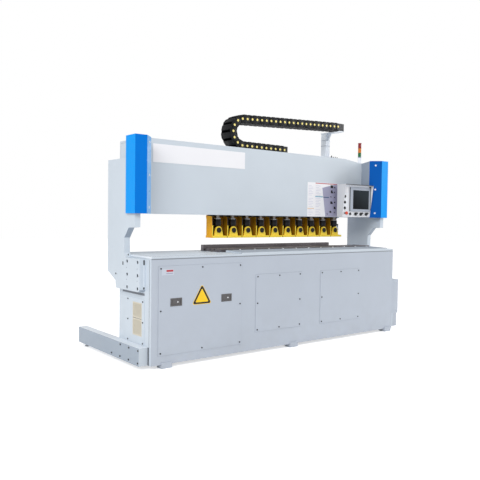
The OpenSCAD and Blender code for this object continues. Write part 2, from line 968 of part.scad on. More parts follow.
module carriage_saddle() {
    color(blue) placed() difference() {
        union() {
            bar(saddle_x0, saddle_x1, saddle_y0, saddle_y1, saddle_z0, saddle_z1);
            for (x = [way_x0, way_x1 - way_w])
                bar(x, x + way_w, saddle_y1, way_y1, saddle_z0, saddle_z1 - 120);
            bar(way_x0 + way_w, way_x0 + way_w + way_lip, way_lip_y0, way_y1,
                saddle_z0, saddle_z1 - 120);
            bar(way_x1 - way_w - way_lip, way_x1 - way_w, way_lip_y0, way_y1,
                saddle_z0, saddle_z1 - 120);
        }
        rod_y(pinion_x, pinion_z, shaft_r + slide_gap, saddle_y0 - 1, saddle_y1 + 1);
    }
}

module guide_block(x, z) {
    difference() {
        bar(x, x + block_len, block_y0, saddle_y0, z - block_h / 2, z + block_h / 2);
        bar(x - 1, x + block_len + 1, block_y0 - 1, beam_rear + rail_d + slide_gap,
            z - rail_h / 2 - slide_gap, z + rail_h / 2 + slide_gap);
    }
}

module guide_blocks() {
    color(dark_steel) placed()
        for (x = [saddle_x0 + 10, saddle_x1 - block_len - 10])
            for (z = rail_zs)
                guide_block(x, z);
}

module feed_motor() {
    half = 70;
    y1 = saddle_y1 + 90;
    color(black) placed() difference() {
        union() {
            bar(pinion_x - half, pinion_x + 58, saddle_y1, y1, pinion_z - half, pinion_z + half);
            rod_y(pinion_x - 6, pinion_z, 56, y1, y1 + 150);
            for (k = [0:5]) rod_y(pinion_x - 6, pinion_z, 62, y1 + 20 + k * 18, y1 + 26 + k * 18);
            rod_y(pinion_x - 6, pinion_z, 60, y1 + 140, y1 + 160);
        }
        rod_y(pinion_x, pinion_z, shaft_r + slide_gap, saddle_y1 - 1, saddle_y1 + 42);
    }
}

module head_slide() {
    gap = slide_gap;
    color(blue) placed() difference() {
        union() {
            bar(way_x0 + way_w + gap, way_x1 - way_w - gap, saddle_y1 + gap, way_lip_y0 - gap,
                slide_z0, slide_z1);
            bar(way_x0 + way_w + way_lip + gap, way_x1 - way_w - way_lip - gap,
                way_lip_y0 - gap, slide_y1, slide_z0, slide_z1);
            for (x = cheek_xs)
                bar(x, x + cheek_t, saddle_y1 + gap, cheek_y1, cheek_z0, cheek_z1);
        }
        rod_x(tilt_y, spindle_z, trunnion_r + slide_gap, cheek_xs[0] - 1,
              cheek_xs[1] + cheek_t + 1);
    }
}

module milling_head() {
    color(dark_steel) placed() difference() {
        union() {
            bar(head_x0, head_x1, head_y0, head_y1, spindle_z - head_half_h,
                spindle_z + head_half_h);
            rod_x(tilt_y, spindle_z, trunnion_r, cheek_xs[0], head_x0);
            rod_x(tilt_y, spindle_z, trunnion_r, head_x1, cheek_xs[1] + cheek_t);
            rod_y(spindle_x, spindle_z, spindle_motor_r, head_y1, spindle_motor_y1);
            for (k = [0:3])
                rod_y(spindle_x, spindle_z, spindle_motor_r + 4,
                      head_y1 + 20 + k * 20, head_y1 + 28 + k * 20);
        }
        rod_y(spindle_x, spindle_z, spindle_r + slide_gap, head_y0 - 1, head_y1 - 40);
    }
}

module spindle_cutter() {
    color(bright_steel) placed() {
        rod_y(spindle_x, spindle_z, spindle_r, cutter_y1, head_y1 - 44);
        difference() {
            rod_y(spindle_x, spindle_z, cutter_r, cutter_y0 + 3, cutter_y1);
            rod_y(spindle_x, spindle_z, 16, cutter_y0, cutter_y0 + 12);
            for (k = [0:insert_count - 1])
                translate([spindle_x, 0, spindle_z]) rotate([0, k * 360 / insert_count, 0])
                    bar(cutter_r - 14, cutter_r + 2, cutter_y0, cutter_y0 + 16, -14, 0);
        }
        for (k = [0:insert_count - 1])
            translate([spindle_x, 0, spindle_z]) rotate([0, k * 360 / insert_count, 0])
                bar(cutter_r - 13, cutter_r - 1, cutter_y0, cutter_y0 + 16, -5, 0);
    }
}

// Drag chain

function loop_pin(k) = let (a = 180 + (bend_links / 2 - k) * step_angle)
    [bend_x + bend_r * cos(a), bend_z + bend_r * sin(a)];
function upper_pin(j) = let (p = loop_pins[bend_links])
    [p[0] + j * upper_pitch, p[1] + chain_rise * j / upper_links];
function lower_pin(j) = [loop_pins[0][0] + j * link_pitch, loop_pins[0][1]];

// Side plates of one link, with holes for the pins where the link is an inner one
module link_plate(length, y, holes) {
    half = link_h / 2 - 2;
    along_y(y, y + plate_t) difference() {
        union() {
            circle(r = link_end_r, $fn = 48);
            translate([length, 0]) circle(r = link_end_r, $fn = 48);
            translate([link_shoulder, -half]) square([length - 2 * link_shoulder, 2 * half]);
        }
        if (holes)
            for (x = [0, length])
                translate([x, 0]) circle(r = link_pin_r + pin_gap, $fn = 32);
    }
}

// The two pins at one joint of the chain, each with a flat head outside its plate
module link_pins(x) {
    depth = 2 * plate_t + plate_gap;
    rod_y(x, 0, 13, chain_y0 - 3, chain_y0);
    rod_y(x, 0, link_pin_r, chain_y0, chain_y0 + depth);
    rod_y(x, 0, 13, chain_y1, chain_y1 + 3);
    rod_y(x, 0, link_pin_r, chain_y1 - depth, chain_y1);
}

// One link from pin p to pin q. Outer links carry the pins, inner links turn on
// them, and two cross bars close the frame that the cables lie in.
module chain_link(p, q, outer) {
    length = norm(q - p);
    angle = atan2(q[1] - p[1], q[0] - p[0]);
    inset = outer ? 0 : plate_t + plate_gap;
    y0 = chain_y0 + inset;
    y1 = chain_y1 - inset;
    r = link_h / 2;
    translate([p[0], 0, p[1]]) rotate([0, -angle, 0]) {
        for (y = [y0, y1 - plate_t]) link_plate(length, y, !outer);
        for (z = [-r + 6, r - 10])
            bar(length / 2 - link_bar_half, length / 2 + link_bar_half,
                y0 + plate_t, y1 - plate_t, z, z + 4);
        if (outer)
            for (x = [0, length]) link_pins(x);
    }
}

module chain_loop() {
    color(black) placed()
        for (k = [0:bend_links - 1])
            chain_link(loop_pins[k], loop_pins[k + 1], k % 2 == 0);
}

// Bracket that holds the last pin of a run: two cheeks on a foot plate
module chain_end(pin, x1, z0) {
    r = link_h / 2;
    for (y = [chain_y0, chain_y1 - plate_t])
        difference() {
            bar(pin[0] - 20, x1, y, y + plate_t, z0, pin[1] + r - 8);
            bar(pin[0] - 21, pin[0] + chain_foot_x, y - 1, y + plate_t + 1, z0 - 1, z0 + 6);
        }
    translate([pin[0], 0, pin[1]]) link_pins(0);
    bar(pin[0] + chain_foot_x, x1, chain_y0 + plate_t, chain_y1 - plate_t, z0, z0 + 6);
}

module chain_upper_run() {
    color(black) placed() {
        for (j = [0:upper_links - 1])
            chain_link(upper_pin(j), upper_pin(j + 1), j % 2 == 0);
        chain_end(upper_pin(upper_links), arm_x1 - 4, arm_z1);
    }
}

module chain_lower_run() {
    end_pin = lower_pin(lower_links);
    color(black) placed() {
        for (j = [0:lower_links - 1])
            chain_link(lower_pin(j), lower_pin(j + 1), j % 2 == 1);
        chain_end(end_pin, end_pin[0] + lower_end_w, upstand_top);
    }
}

module chain_post() {
    color(pale_grey) placed() {
        bar(post_x0, post_x1, post_y0, post_y1, post_z0, arm_z0);
        bar(post_x0 - 17, post_x1 + 18, saddle_y1, post_y1, post_z0, post_z0 + 40);
        bar(arm_x0, arm_x1, chain_y0, post_y1 + 5, arm_z0, arm_z1);
        along_x((post_x0 + post_x1) / 2 - 5, 10) difference() {
            polygon([[post_y0, 2388], [post_y0, arm_z0], [742, arm_z0], [742, arm_z0 - 20]]);
            translate([742, 2400]) circle(r = 40, $fn = 48);
        }
    }
}

// Console

// Puts a piece on the console's face, u from its left edge, v down from its top.
// The face is the plane y = 0 and the inside of the console is at +Y.
module on_face(u, v) {
    translate([console_x0 + u, face_y, console_top - v]) children();
}

module console_shell() {
    x1 = console_x0 + console_w;
    difference() {
        bar(console_x0, x1, face_y, console_rear, console_bottom, console_top);
        bar(console_x0 + shell_t, x1 - shell_t, face_y + shell_t, console_rear - shell_t,
            console_bottom + shell_t, console_top - shell_t);
    }
    difference() {
        bar(console_x0 + console_mount_in, x1 - console_mount_in, console_rear, beam_front,
            console_bottom + console_mount_in, console_top - console_mount_in);
        bar(console_x0 + console_mount_in + shell_t, x1 - console_mount_in - shell_t,
            console_rear - 1, beam_front - shell_t, console_bottom + console_mount_in + shell_t,
            console_top - console_mount_in - shell_t);
    }
    for (x = [console_x0, x1 - cheek_sheet])
        along_x(x, cheek_sheet) polygon([
            [face_y, console_bottom], [face_y - hood_depth, console_top], [face_y, console_top]
        ]);
}

module console_housing() {
    color(white) placed() {
        difference() {
            console_shell();
            on_face(0, 0)
                bar(screen[0] + 4, screen[1] - 4, -1, shell_t + 1, -screen[3] + 4, -screen[2] - 4);
            for (v = button_vs)
                on_face(button_u, v) rod_y(0, 0, button_r + slide_gap, -1, shell_t + 1);
            on_face(row_us[0], row_v) rod_y(0, 0, button_r + slide_gap, -1, shell_t + 1);
            on_face(estop_u, estop_v) rod_y(0, 0, button_r + slide_gap, -1, shell_t + 1);
            for (k = [1:3])
                on_face(row_us[k], row_v) rod_y(0, 0, selector_r + slide_gap, -1, shell_t + 1);
        }
        bar(console_x0 - hood_over, console_x0 + console_w, face_y - hood_depth - hood_over,
            console_rear, console_top, console_top + hood_t);
    }
}

module console_screen() {
    color(dark_steel) placed() on_face(0, 0) difference() {
        union() {
            bar(screen[0], screen[1], -screen_proud, 0, -screen[3], -screen[2]);
            bar(screen[0] + 4.5, screen[1] - 4.5, 0, screen_depth,
                -screen[3] + 4.5, -screen[2] - 4.5);
        }
        bar(lcd[0], lcd[1], -screen_proud - 1, -screen_proud + 3, -lcd[3], -lcd[2]);
    }
}

module push_button(u, v) {
    color(black) placed() on_face(u, v) {
        rod_y(0, 0, button_r, -9, 26);
        rod_y(0, 0, button_r + 5, 22, 26);
    }
}

module button_1() {
    push_button(button_u, button_vs[0]);
}

module button_2() {
    push_button(button_u, button_vs[1]);
}

module button_3() {
    push_button(button_u, button_vs[2]);
}

module button_4() {
    push_button(row_us[0], row_v);
}

module estop() {
    color(red) placed() on_face(estop_u, estop_v) {
        rod_y(0, 0, 20, -32, -20);
        rod_y(0, 0, 14, -20, -14);
        rod_y(0, 0, button_r, -14, 26);
        rod_y(0, 0, button_r + 5, 22, 26);
    }
}

module selector(k) {
    color(black) placed() on_face(row_us[k], row_v) {
        rod_y(0, 0, 14, -8, -0.5);
        rotate([0, -45, 0]) bar(-6, 6, -24, -7, -17, 17);
        rod_y(0, 0, selector_r, -0.5, 26);
        rod_y(0, 0, 11, 22, 26);
    }
}

module selector_1() {
    selector(1);
}

module selector_2() {
    selector(2);
}

module selector_3() {
    selector(3);
}

module signal_tower() {
    color(white) placed()
        for (i = [0:len(tower_rings) - 1])
            rod_z(tower_x, tower_y, tower_rings[i][1],
                  i == 0 ? beam_top : tower_rings[i - 1][0], tower_rings[i][0]);
}

// Right side box, foot beams and chip tray

module electrical_box() {
    x0 = base_len;
    wall = 3;
    color(grey) placed() {
        difference() {
            bar(x0, x0 + box_w, box_y0, box_y1, box_z0, box_z1);
            bar(x0 + wall, x0 + box_w - wall, box_y0 + wall, box_y1 - wall,
                box_z0 + wall, box_z1 - wall);
        }
        bar(x0 + foot_beam_w, x0 + box_plinth_w, box_y0, box_y1 - 40, base_bottom, box_z0);
        bar(x0 + 20, x0 + box_w - 20, box_y0 - 3, box_y0, box_z0 + 30, box_z1 - 30);
    }
}

module foot_beam() {
    tube = 8;
    difference() {
        bar(-foot_beam_w, 0, foot_beam_y0, foot_beam_y1, base_bottom, foot_beam_top);
        bar(-foot_beam_w + tube, -tube, foot_beam_y0 + tube, foot_beam_y1 - tube,
            base_bottom + tube, foot_beam_top - tube);
        for (p = foot_bolts)
            rod_x(p[0], p[1], panel_screw_r + screw_gap, -foot_beam_w - 1, 1);
        rod_z(-foot_beam_w / 2, outrigger_pad_y, 8 + screw_gap, base_bottom - 1,
              base_bottom + tube + 1);
    }
}

module foot_beams() {
    color(grey) placed() both_ends() foot_beam();
}

module levelling_pad(x, y, screw_top) {
    rod_z(x, y, 22, 0, 12);
    rod_z(x, y, 14, 12, 24);
    rod_z(x, y, 8, 24, screw_top);
}

module levelling_feet() {
    color(black) placed() {
        for (x = bracket_xs)
            both_sides() levelling_pad(x - 8, 104, base_bottom);
        both_ends() levelling_pad(-foot_beam_w / 2, outrigger_pad_y, base_bottom + 30);
    }
}

module chip_tray() {
    x0 = 150;
    x1 = base_len - 150;
    z0 = 560;
    z1 = 700;
    y1 = 960;
    color(grey) placed() {
        difference() {
            bar(x0, x1, base_depth, y1, z0, z1);
            bar(x0 + tray_t, x1 - tray_t, base_depth + tray_t, y1 - tray_t, z0 + tray_t, z1 + 1);
        }
        bar(x0, x1, base_depth, base_depth + tray_t, z1, z1 + 80);
    }
}

base_cabinet();
table_top();
work_bed();
clamp_bar();
panel_a();
small_panels();
panel_screws();
filter_panel();
filter_grilles();
latch_frames();
latch_paddle_left();
latch_paddle_right();
side_columns();
column_bolts();
cross_beam();
chain_tray();
foot_guides();
end_covers();
cover_brackets();
cover_screws();
clamp_cylinders();
carriage_rails();
drive_rack();
foot_beams();
levelling_feet();
console_housing();
console_screen();
button_1();
button_2();
button_3();
button_4();
estop();
selector_1();
selector_2();
selector_3();
signal_tower();
electrical_box();
chip_tray();
chain_lower_run();
chain_loop();
chain_upper_run();
chain_post();
carriage_saddle();
guide_blocks();
feed_motor();
drive_pinion();
head_slide();
milling_head();
spindle_cutter();
press_foot(1);  // press_foot_1
press_foot(2);  // press_foot_2
press_foot(3);  // press_foot_3
press_foot(4);  // press_foot_4
press_foot(5);  // press_foot_5
press_foot(6);  // press_foot_6
press_foot(7);  // press_foot_7
press_foot(8);  // press_foot_8
press_foot(9);  // press_foot_9
press_foot(10);  // press_foot_10
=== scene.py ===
import json
import math

import bmesh
import bpy
from bpy.props import FloatProperty, FloatVectorProperty, PointerProperty
from mathutils import Euler, Matrix, Vector

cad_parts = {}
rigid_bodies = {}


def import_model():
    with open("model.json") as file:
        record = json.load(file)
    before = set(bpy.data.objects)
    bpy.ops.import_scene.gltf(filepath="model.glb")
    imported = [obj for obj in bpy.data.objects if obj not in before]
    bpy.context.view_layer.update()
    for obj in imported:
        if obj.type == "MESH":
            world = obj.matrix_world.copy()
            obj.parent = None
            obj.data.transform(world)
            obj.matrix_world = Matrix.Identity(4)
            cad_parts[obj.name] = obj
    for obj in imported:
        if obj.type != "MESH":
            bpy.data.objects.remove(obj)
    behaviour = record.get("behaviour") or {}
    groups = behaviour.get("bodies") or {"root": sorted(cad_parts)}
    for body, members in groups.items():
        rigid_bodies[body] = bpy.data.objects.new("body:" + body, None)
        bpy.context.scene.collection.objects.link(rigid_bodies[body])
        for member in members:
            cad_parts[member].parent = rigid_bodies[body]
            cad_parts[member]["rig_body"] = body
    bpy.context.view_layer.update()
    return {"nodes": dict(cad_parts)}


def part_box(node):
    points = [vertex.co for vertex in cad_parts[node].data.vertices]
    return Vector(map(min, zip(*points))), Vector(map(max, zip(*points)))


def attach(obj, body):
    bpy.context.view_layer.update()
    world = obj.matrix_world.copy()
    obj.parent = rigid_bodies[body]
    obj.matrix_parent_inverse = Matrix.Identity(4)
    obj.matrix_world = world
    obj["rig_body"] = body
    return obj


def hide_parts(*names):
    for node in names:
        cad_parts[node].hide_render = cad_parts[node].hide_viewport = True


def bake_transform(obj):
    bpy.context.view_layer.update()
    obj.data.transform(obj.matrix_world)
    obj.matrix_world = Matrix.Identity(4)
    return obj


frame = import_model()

bl_info = {
    "name": "Plate Edge Milling Machine",
    "version": (1, 0, 0),
    "blender": (4, 5, 0),
    "location": "3D View > Sidebar > Edge Mill",
    "description": "Finishes, fittings and stage for a plate edge milling machine",
    "category": "Object",
}

MM = 0.001

# Places in millimetres are measured from the cabinet's front left corner on the floor:
# x to the console's end, y to the rear, z up.
TABLE_LOW, TABLE_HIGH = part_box("table_top")
CORNER = Vector((TABLE_LOW.x, TABLE_LOW.y, 0.0))
MACHINE_LENGTH = (TABLE_HIGH.x - CORNER.x) / MM


def at(x, y, z):
    """A place on the machine, given in millimetres from the cabinet's corner."""
    return CORNER + Vector((x, y, z)) * MM


def tone(red, green, blue):
    """A colour as it looks on a screen, 0 to 255, as the linear colour Blender wants."""
    def linear(value):
        value /= 255
        return value / 12.92 if value <= 0.04045 else ((value + 0.055) / 1.055) ** 2.4
    return (linear(red), linear(green), linear(blue))


# Settings


def colour_setting(name, words, *screen_colour):
    return FloatVectorProperty(name=name, description=words, subtype="COLOR", size=3,
                               min=0, max=1, default=tone(*screen_colour))


def length_setting(name, words, default, low, high):
    return FloatProperty(name=name, description=words, default=default, min=low, max=high,
                         subtype="DISTANCE", unit="LENGTH")


def angle_setting(name, words, default):
    return FloatProperty(name=name, description=words, default=default, subtype="ANGLE",
                         unit="ROTATION")


def power_setting(name, words, default):
    return FloatProperty(name=name, description=words, default=default, min=0, unit="POWER")


class MillPaints(bpy.types.PropertyGroup):
    """Colours of the machine's finishes."""

    cabinet: colour_setting("Cabinet grey", "Paint of the cabinet", 186, 194, 206)
    beam: colour_setting("Beam grey", "Paint of the beam and the table", 203, 212, 221)
    cover: colour_setting("Cover blue", "Paint of the folded end covers", 0, 118, 216)
    foot: colour_setting("Foot yellow", "Paint of the press feet", 255, 208, 44)
    console: colour_setting("Console white", "Paint of the console", 232, 235, 241)
    filter: colour_setting("Filter beige", "Moulded filter insets", 216, 210, 194)
    chain: colour_setting("Chain black", "Moulded chain links", 20, 21, 24)
    chain_pin: colour_setting("Chain pin cream", "Moulded chain pins", 250, 232, 138)
    bed: colour_setting("Bed steel", "Ground steel of the bed", 124, 119, 122)


class MillSizes(bpy.types.PropertyGroup):
    """Sizes of the fittings that this file adds."""

    edge: length_setting("Sheet edge", "Rounding of folded sheet edges", 0.002, 0.0005, 0.004)
    cast_edge: length_setting("Casting edge", "Rounding of cast edges", 0.003, 0.001, 0.005)
    pin_radius: length_setting("Chain pin radius", "Cream heads of the chain pins",
                               0.0135, 0.008, 0.02)


class MillStage(bpy.types.PropertyGroup):
    """Camera and light."""

    yaw: angle_setting("Yaw", "Camera turn to the right of straight ahead", 0.6657)
    pitch: angle_setting("Pitch", "Camera tilt down", 0.0352)
    roll: angle_setting("Roll", "Camera roll", -0.0133)
    lens: FloatProperty(name="Lens", description="Focal length on a 36 mm sensor",
                        default=44.27, unit="CAMERA")
    key: power_setting("Key light", "Power of the large light at the left", 760)
    fill: power_setting("Fill light", "Power of the light at the front", 2)
    top: power_setting("Top light", "Power of the light overhead", 60)
    side: power_setting("Side light", "Power of the light at the right", 230)
    sky: FloatProperty(name="Sky", description="Brightness of the surroundings",
                       default=0.64, min=0)


# Shader node groups


class Graph:
    """Adds nodes to a tree and joins them."""

    def __init__(self, tree):
        self.tree = tree

    def add(self, kind, **settings):
        node = self.tree.nodes.new(kind)
        for key, value in settings.items():
            setattr(node, key, value)
        return node

    def feed(self, socket, value):
        """Joins another node's output to the socket, or sets a constant on it."""
        if isinstance(value, bpy.types.NodeSocket):
            self.tree.links.new(value, socket)
        else:
            socket.default_value = value

    def fed(self, kind, values, **settings):
        """A new node with its inputs fed, by name or by number."""
        node = self.add(kind, **settings)
        for key, value in values.items():
            self.feed(node.inputs[key], value)
        return node.outputs

    def math(self, operation, *values, clamp=False):
        return self.fed("ShaderNodeMath", dict(enumerate(values)), operation=operation,
                        use_clamp=clamp)[0]

    def span(self, value, low, high, to_low, to_high):
        return self.fed("ShaderNodeMapRange", {
            "Value": value, "From Min": low, "From Max": high, "To Min": to_low,
            "To Max": to_high})["Result"]

    def noise(self, vector, scale, detail):
        return self.fed("ShaderNodeTexNoise", {
            "Vector": vector, "Scale": scale, "Detail": detail})[0]

    def mix(self, factor, first, second):
        colours = [(*value, 1.0) if isinstance(value, tuple) else value
                   for value in (first, second)]
        return self.fed("ShaderNodeMix", {0: factor, 6: colours[0], 7: colours[1]},
                        data_type="RGBA")[2]

    def scaled(self, colour, factor):
        return self.fed("ShaderNodeVectorMath", {0: colour, "Scale": factor},
                        operation="SCALE")[0]

    def bump(self, height, distance, strength):
        return self.fed("ShaderNodeBump", {
            "Height": height, "Distance": distance, "Strength": strength})["Normal"]


def new_group(name, inputs):
    """A shader group with its named sockets: its graph, inputs, place and outputs."""
    tree = bpy.data.node_groups.new(name, "ShaderNodeTree")
    for label, kind, default in inputs:
        socket = tree.interface.new_socket(label, in_out="INPUT",
                                           socket_type="NodeSocket" + kind)
        socket.default_value = default
    for label, kind in (("Colour", "Color"), ("Roughness", "Float"), ("Normal", "Vector")):
        tree.interface.new_socket(label, in_out="OUTPUT", socket_type="NodeSocket" + kind)
    graph = Graph(tree)
    return (graph, graph.add("NodeGroupInput").outputs,
            graph.add("ShaderNodeTexCoord").outputs["Object"],
            graph.add("NodeGroupOutput").inputs)


def paint_group(name):
    """Sprayed paint: mottled colour, orange peel, dust that gathers near the floor."""
    graph, given, place, result = new_group(name, [
        ("Colour", "Color", (0.5, 0.5, 0.5, 1)), ("Mottle", "Float", 0.03),
        ("Peel", "Float", 0.1), ("Peel Scale", "Float", 260.0),
        ("Base Roughness", "Float", 0.4), ("Dust", "Float", 0.0)])
    smudge = graph.noise(place, 11.0, 5.0)
    shade = graph.scaled(given["Colour"], graph.span(
        graph.noise(place, 1.7, 4.0), 0.3, 0.7, graph.math("SUBTRACT", 1.0, given["Mottle"]),
        graph.math("ADD", 1.0, given["Mottle"])))
    height = graph.fed("ShaderNodeSeparateXYZ", {0: place})["Z"]
    near_floor = graph.span(height, 0.0, 0.55, 1.0, 0.0)
    speckled = graph.math("MULTIPLY", near_floor, graph.span(smudge, 0.35, 0.7, 0.0, 1.0))
    dust = graph.math("MULTIPLY", speckled, given["Dust"], clamp=True)
    rough = graph.math("ADD", given["Base Roughness"],
                       graph.span(smudge, 0.3, 0.7, -0.05, 0.07))
    graph.feed(result["Colour"], graph.mix(dust, shade, tone(150, 146, 138)))
    graph.feed(result["Roughness"], graph.math("ADD", rough, graph.math("MULTIPLY", dust, 0.4)))
    graph.feed(result["Normal"], graph.bump(graph.noise(place, given["Peel Scale"], 2.0),
                                            0.0008, given["Peel"]))
    return graph.tree


def ground_steel_group(name):
    """Ground or drawn steel: fine streaks along one axis, with stains."""
    graph, given, place, result = new_group(name, [
        ("Colour", "Color", (0.5, 0.5, 0.5, 1)), ("Grain", "Vector", (3.0, 260.0, 260.0)),
        ("Streaks", "Float", 0.12), ("Stain", "Float", 0.1), ("Base Roughness", "Float", 0.32)])
    stretched = graph.fed("ShaderNodeVectorMath", {0: place, 1: given["Grain"]},
                          operation="MULTIPLY")[0]
    streak = graph.noise(stretched, 1.0, 3.0)
    stain = graph.noise(place, 6.0, 5.0)
    lines = graph.math("MULTIPLY", graph.span(streak, 0.3, 0.7, -1.0, 1.0), given["Streaks"])
    shade = graph.math("SUBTRACT", graph.math("ADD", lines, 1.0), graph.math(
        "MULTIPLY", graph.span(stain, 0.45, 0.75, 0.0, 1.0), given["Stain"]))
    graph.feed(result["Colour"], graph.scaled(given["Colour"], shade))
    graph.feed(result["Roughness"], graph.math("ADD", given["Base Roughness"],
                                               graph.span(streak, 0.3, 0.7, -0.06, 0.1)))
    graph.feed(result["Normal"], graph.bump(streak, 0.0003, 0.25))
    return graph.tree


# Materials


def new_material(name):
    """A material with its graph and the inputs of its shader."""
    material = bpy.data.materials.new(name)
    material.use_nodes = True
    return (material, Graph(material.node_tree),
            material.node_tree.nodes["Principled BSDF"].inputs)


def shaded(name, group_name, build_group, skin_values, shader_values):
    """A material whose colour, roughness and normal come from a shared group."""
    material, graph, shader = new_material(name)
    group = bpy.data.node_groups.get(group_name) or build_group(group_name)
    skin = graph.fed("ShaderNodeGroup", skin_values, node_tree=group)
    for output, socket in (("Colour", "Base Color"), ("Roughness", "Roughness"),
                           ("Normal", "Normal")):
        graph.feed(shader[socket], skin[output])
    for key, value in shader_values.items():
        shader[key].default_value = value
    material.diffuse_color = skin_values["Colour"]
    return material


def paint(name, colour, rough=0.38, mottle=0.025, peel=0.1, peel_scale=260.0, dust=0.0,
          coat=0.0, gloss=0.4):
    """Sprayed paint, print or moulded plastic."""
    return shaded(name, "Sprayed Paint", paint_group, {
        "Colour": (*colour, 1.0), "Mottle": mottle, "Peel": peel, "Peel Scale": peel_scale,
        "Base Roughness": rough, "Dust": dust}, {
        "Coat Weight": coat, "Coat Roughness": 0.12, "Specular IOR Level": gloss})


def steel(name, colour, grain=(3.0, 260.0, 260.0), rough=0.3, streaks=0.12, stain=0.1,
          metallic=1.0):
    """Ground, turned or blackened steel."""
    return shaded(name, "Ground Steel", ground_steel_group, {
        "Colour": (*colour, 1.0), "Grain": grain, "Streaks": streaks, "Stain": stain,
        "Base Roughness": rough}, {"Metallic": metallic})


def lamp_lens(name, colour):
    """A ribbed lamp lens: coloured plastic that glows a little through its own depth."""
    material = paint(name, colour, rough=0.22, mottle=0.05, peel=0.05, coat=0.4)
    shader = material.node_tree.nodes["Principled BSDF"].inputs
    shader["Emission Color"].default_value = (*colour, 1.0)
    shader["Emission Strength"].default_value = 0.02
    return material


GLASS_X = (2932, 3228)
GLASS_Z = (1501, 1734)


def screen_glass(name, dark):
    """The switched off screen: dark glass with a painted reflection that brightens it slightly
    towards its top right.
    """
    material, graph, shader = new_material(name)
    place = graph.fed("ShaderNodeSeparateXYZ", {
        0: graph.add("ShaderNodeTexCoord").outputs["Object"]})
    low, high = (at(x, 0, z) for x, z in zip(GLASS_X, GLASS_Z))
    across = graph.span(place["X"], low.x, high.x, 0.0, 0.45)
    up = graph.span(place["Z"], low.z, high.z, 0.0, 0.55)
    painted_reflection = graph.math("ADD", across, up, clamp=True)
    graph.feed(shader["Base Color"], graph.mix(painted_reflection, dark, tone(46, 55, 62)))
    shader["Roughness"].default_value = 0.16
    shader["Specular IOR Level"].default_value = 0.12
    return material


# What sets each family of paints apart from the plain one.
SHEET = {"peel": 0.06}
FLOOR_SHEET = {"peel": 0.06, "dust": 0.1}
FOLDED = {"rough": 0.4, "mottle": 0.015, "peel": 0.03, "gloss": 0.08}
CAST = {"rough": 0.45, "mottle": 0.04, "peel": 0.3, "peel_scale": 150.0, "gloss": 0.25}
# the surface of the painted shade strips in the seams
SEAM_SHADE = {"rough": 0.6, "mottle": 0.04, "peel": 0.2, "peel_scale": 600.0}
SHADE = {"rough": 0.7, "mottle": 0.08}
LABEL = {"rough": 0.32, "mottle": 0.01, "peel": 0.02}
PRINT = {"rough": 0.35, "peel": 0.02}
TURNED = {"grain": (160.0, 160.0, 8.0)}

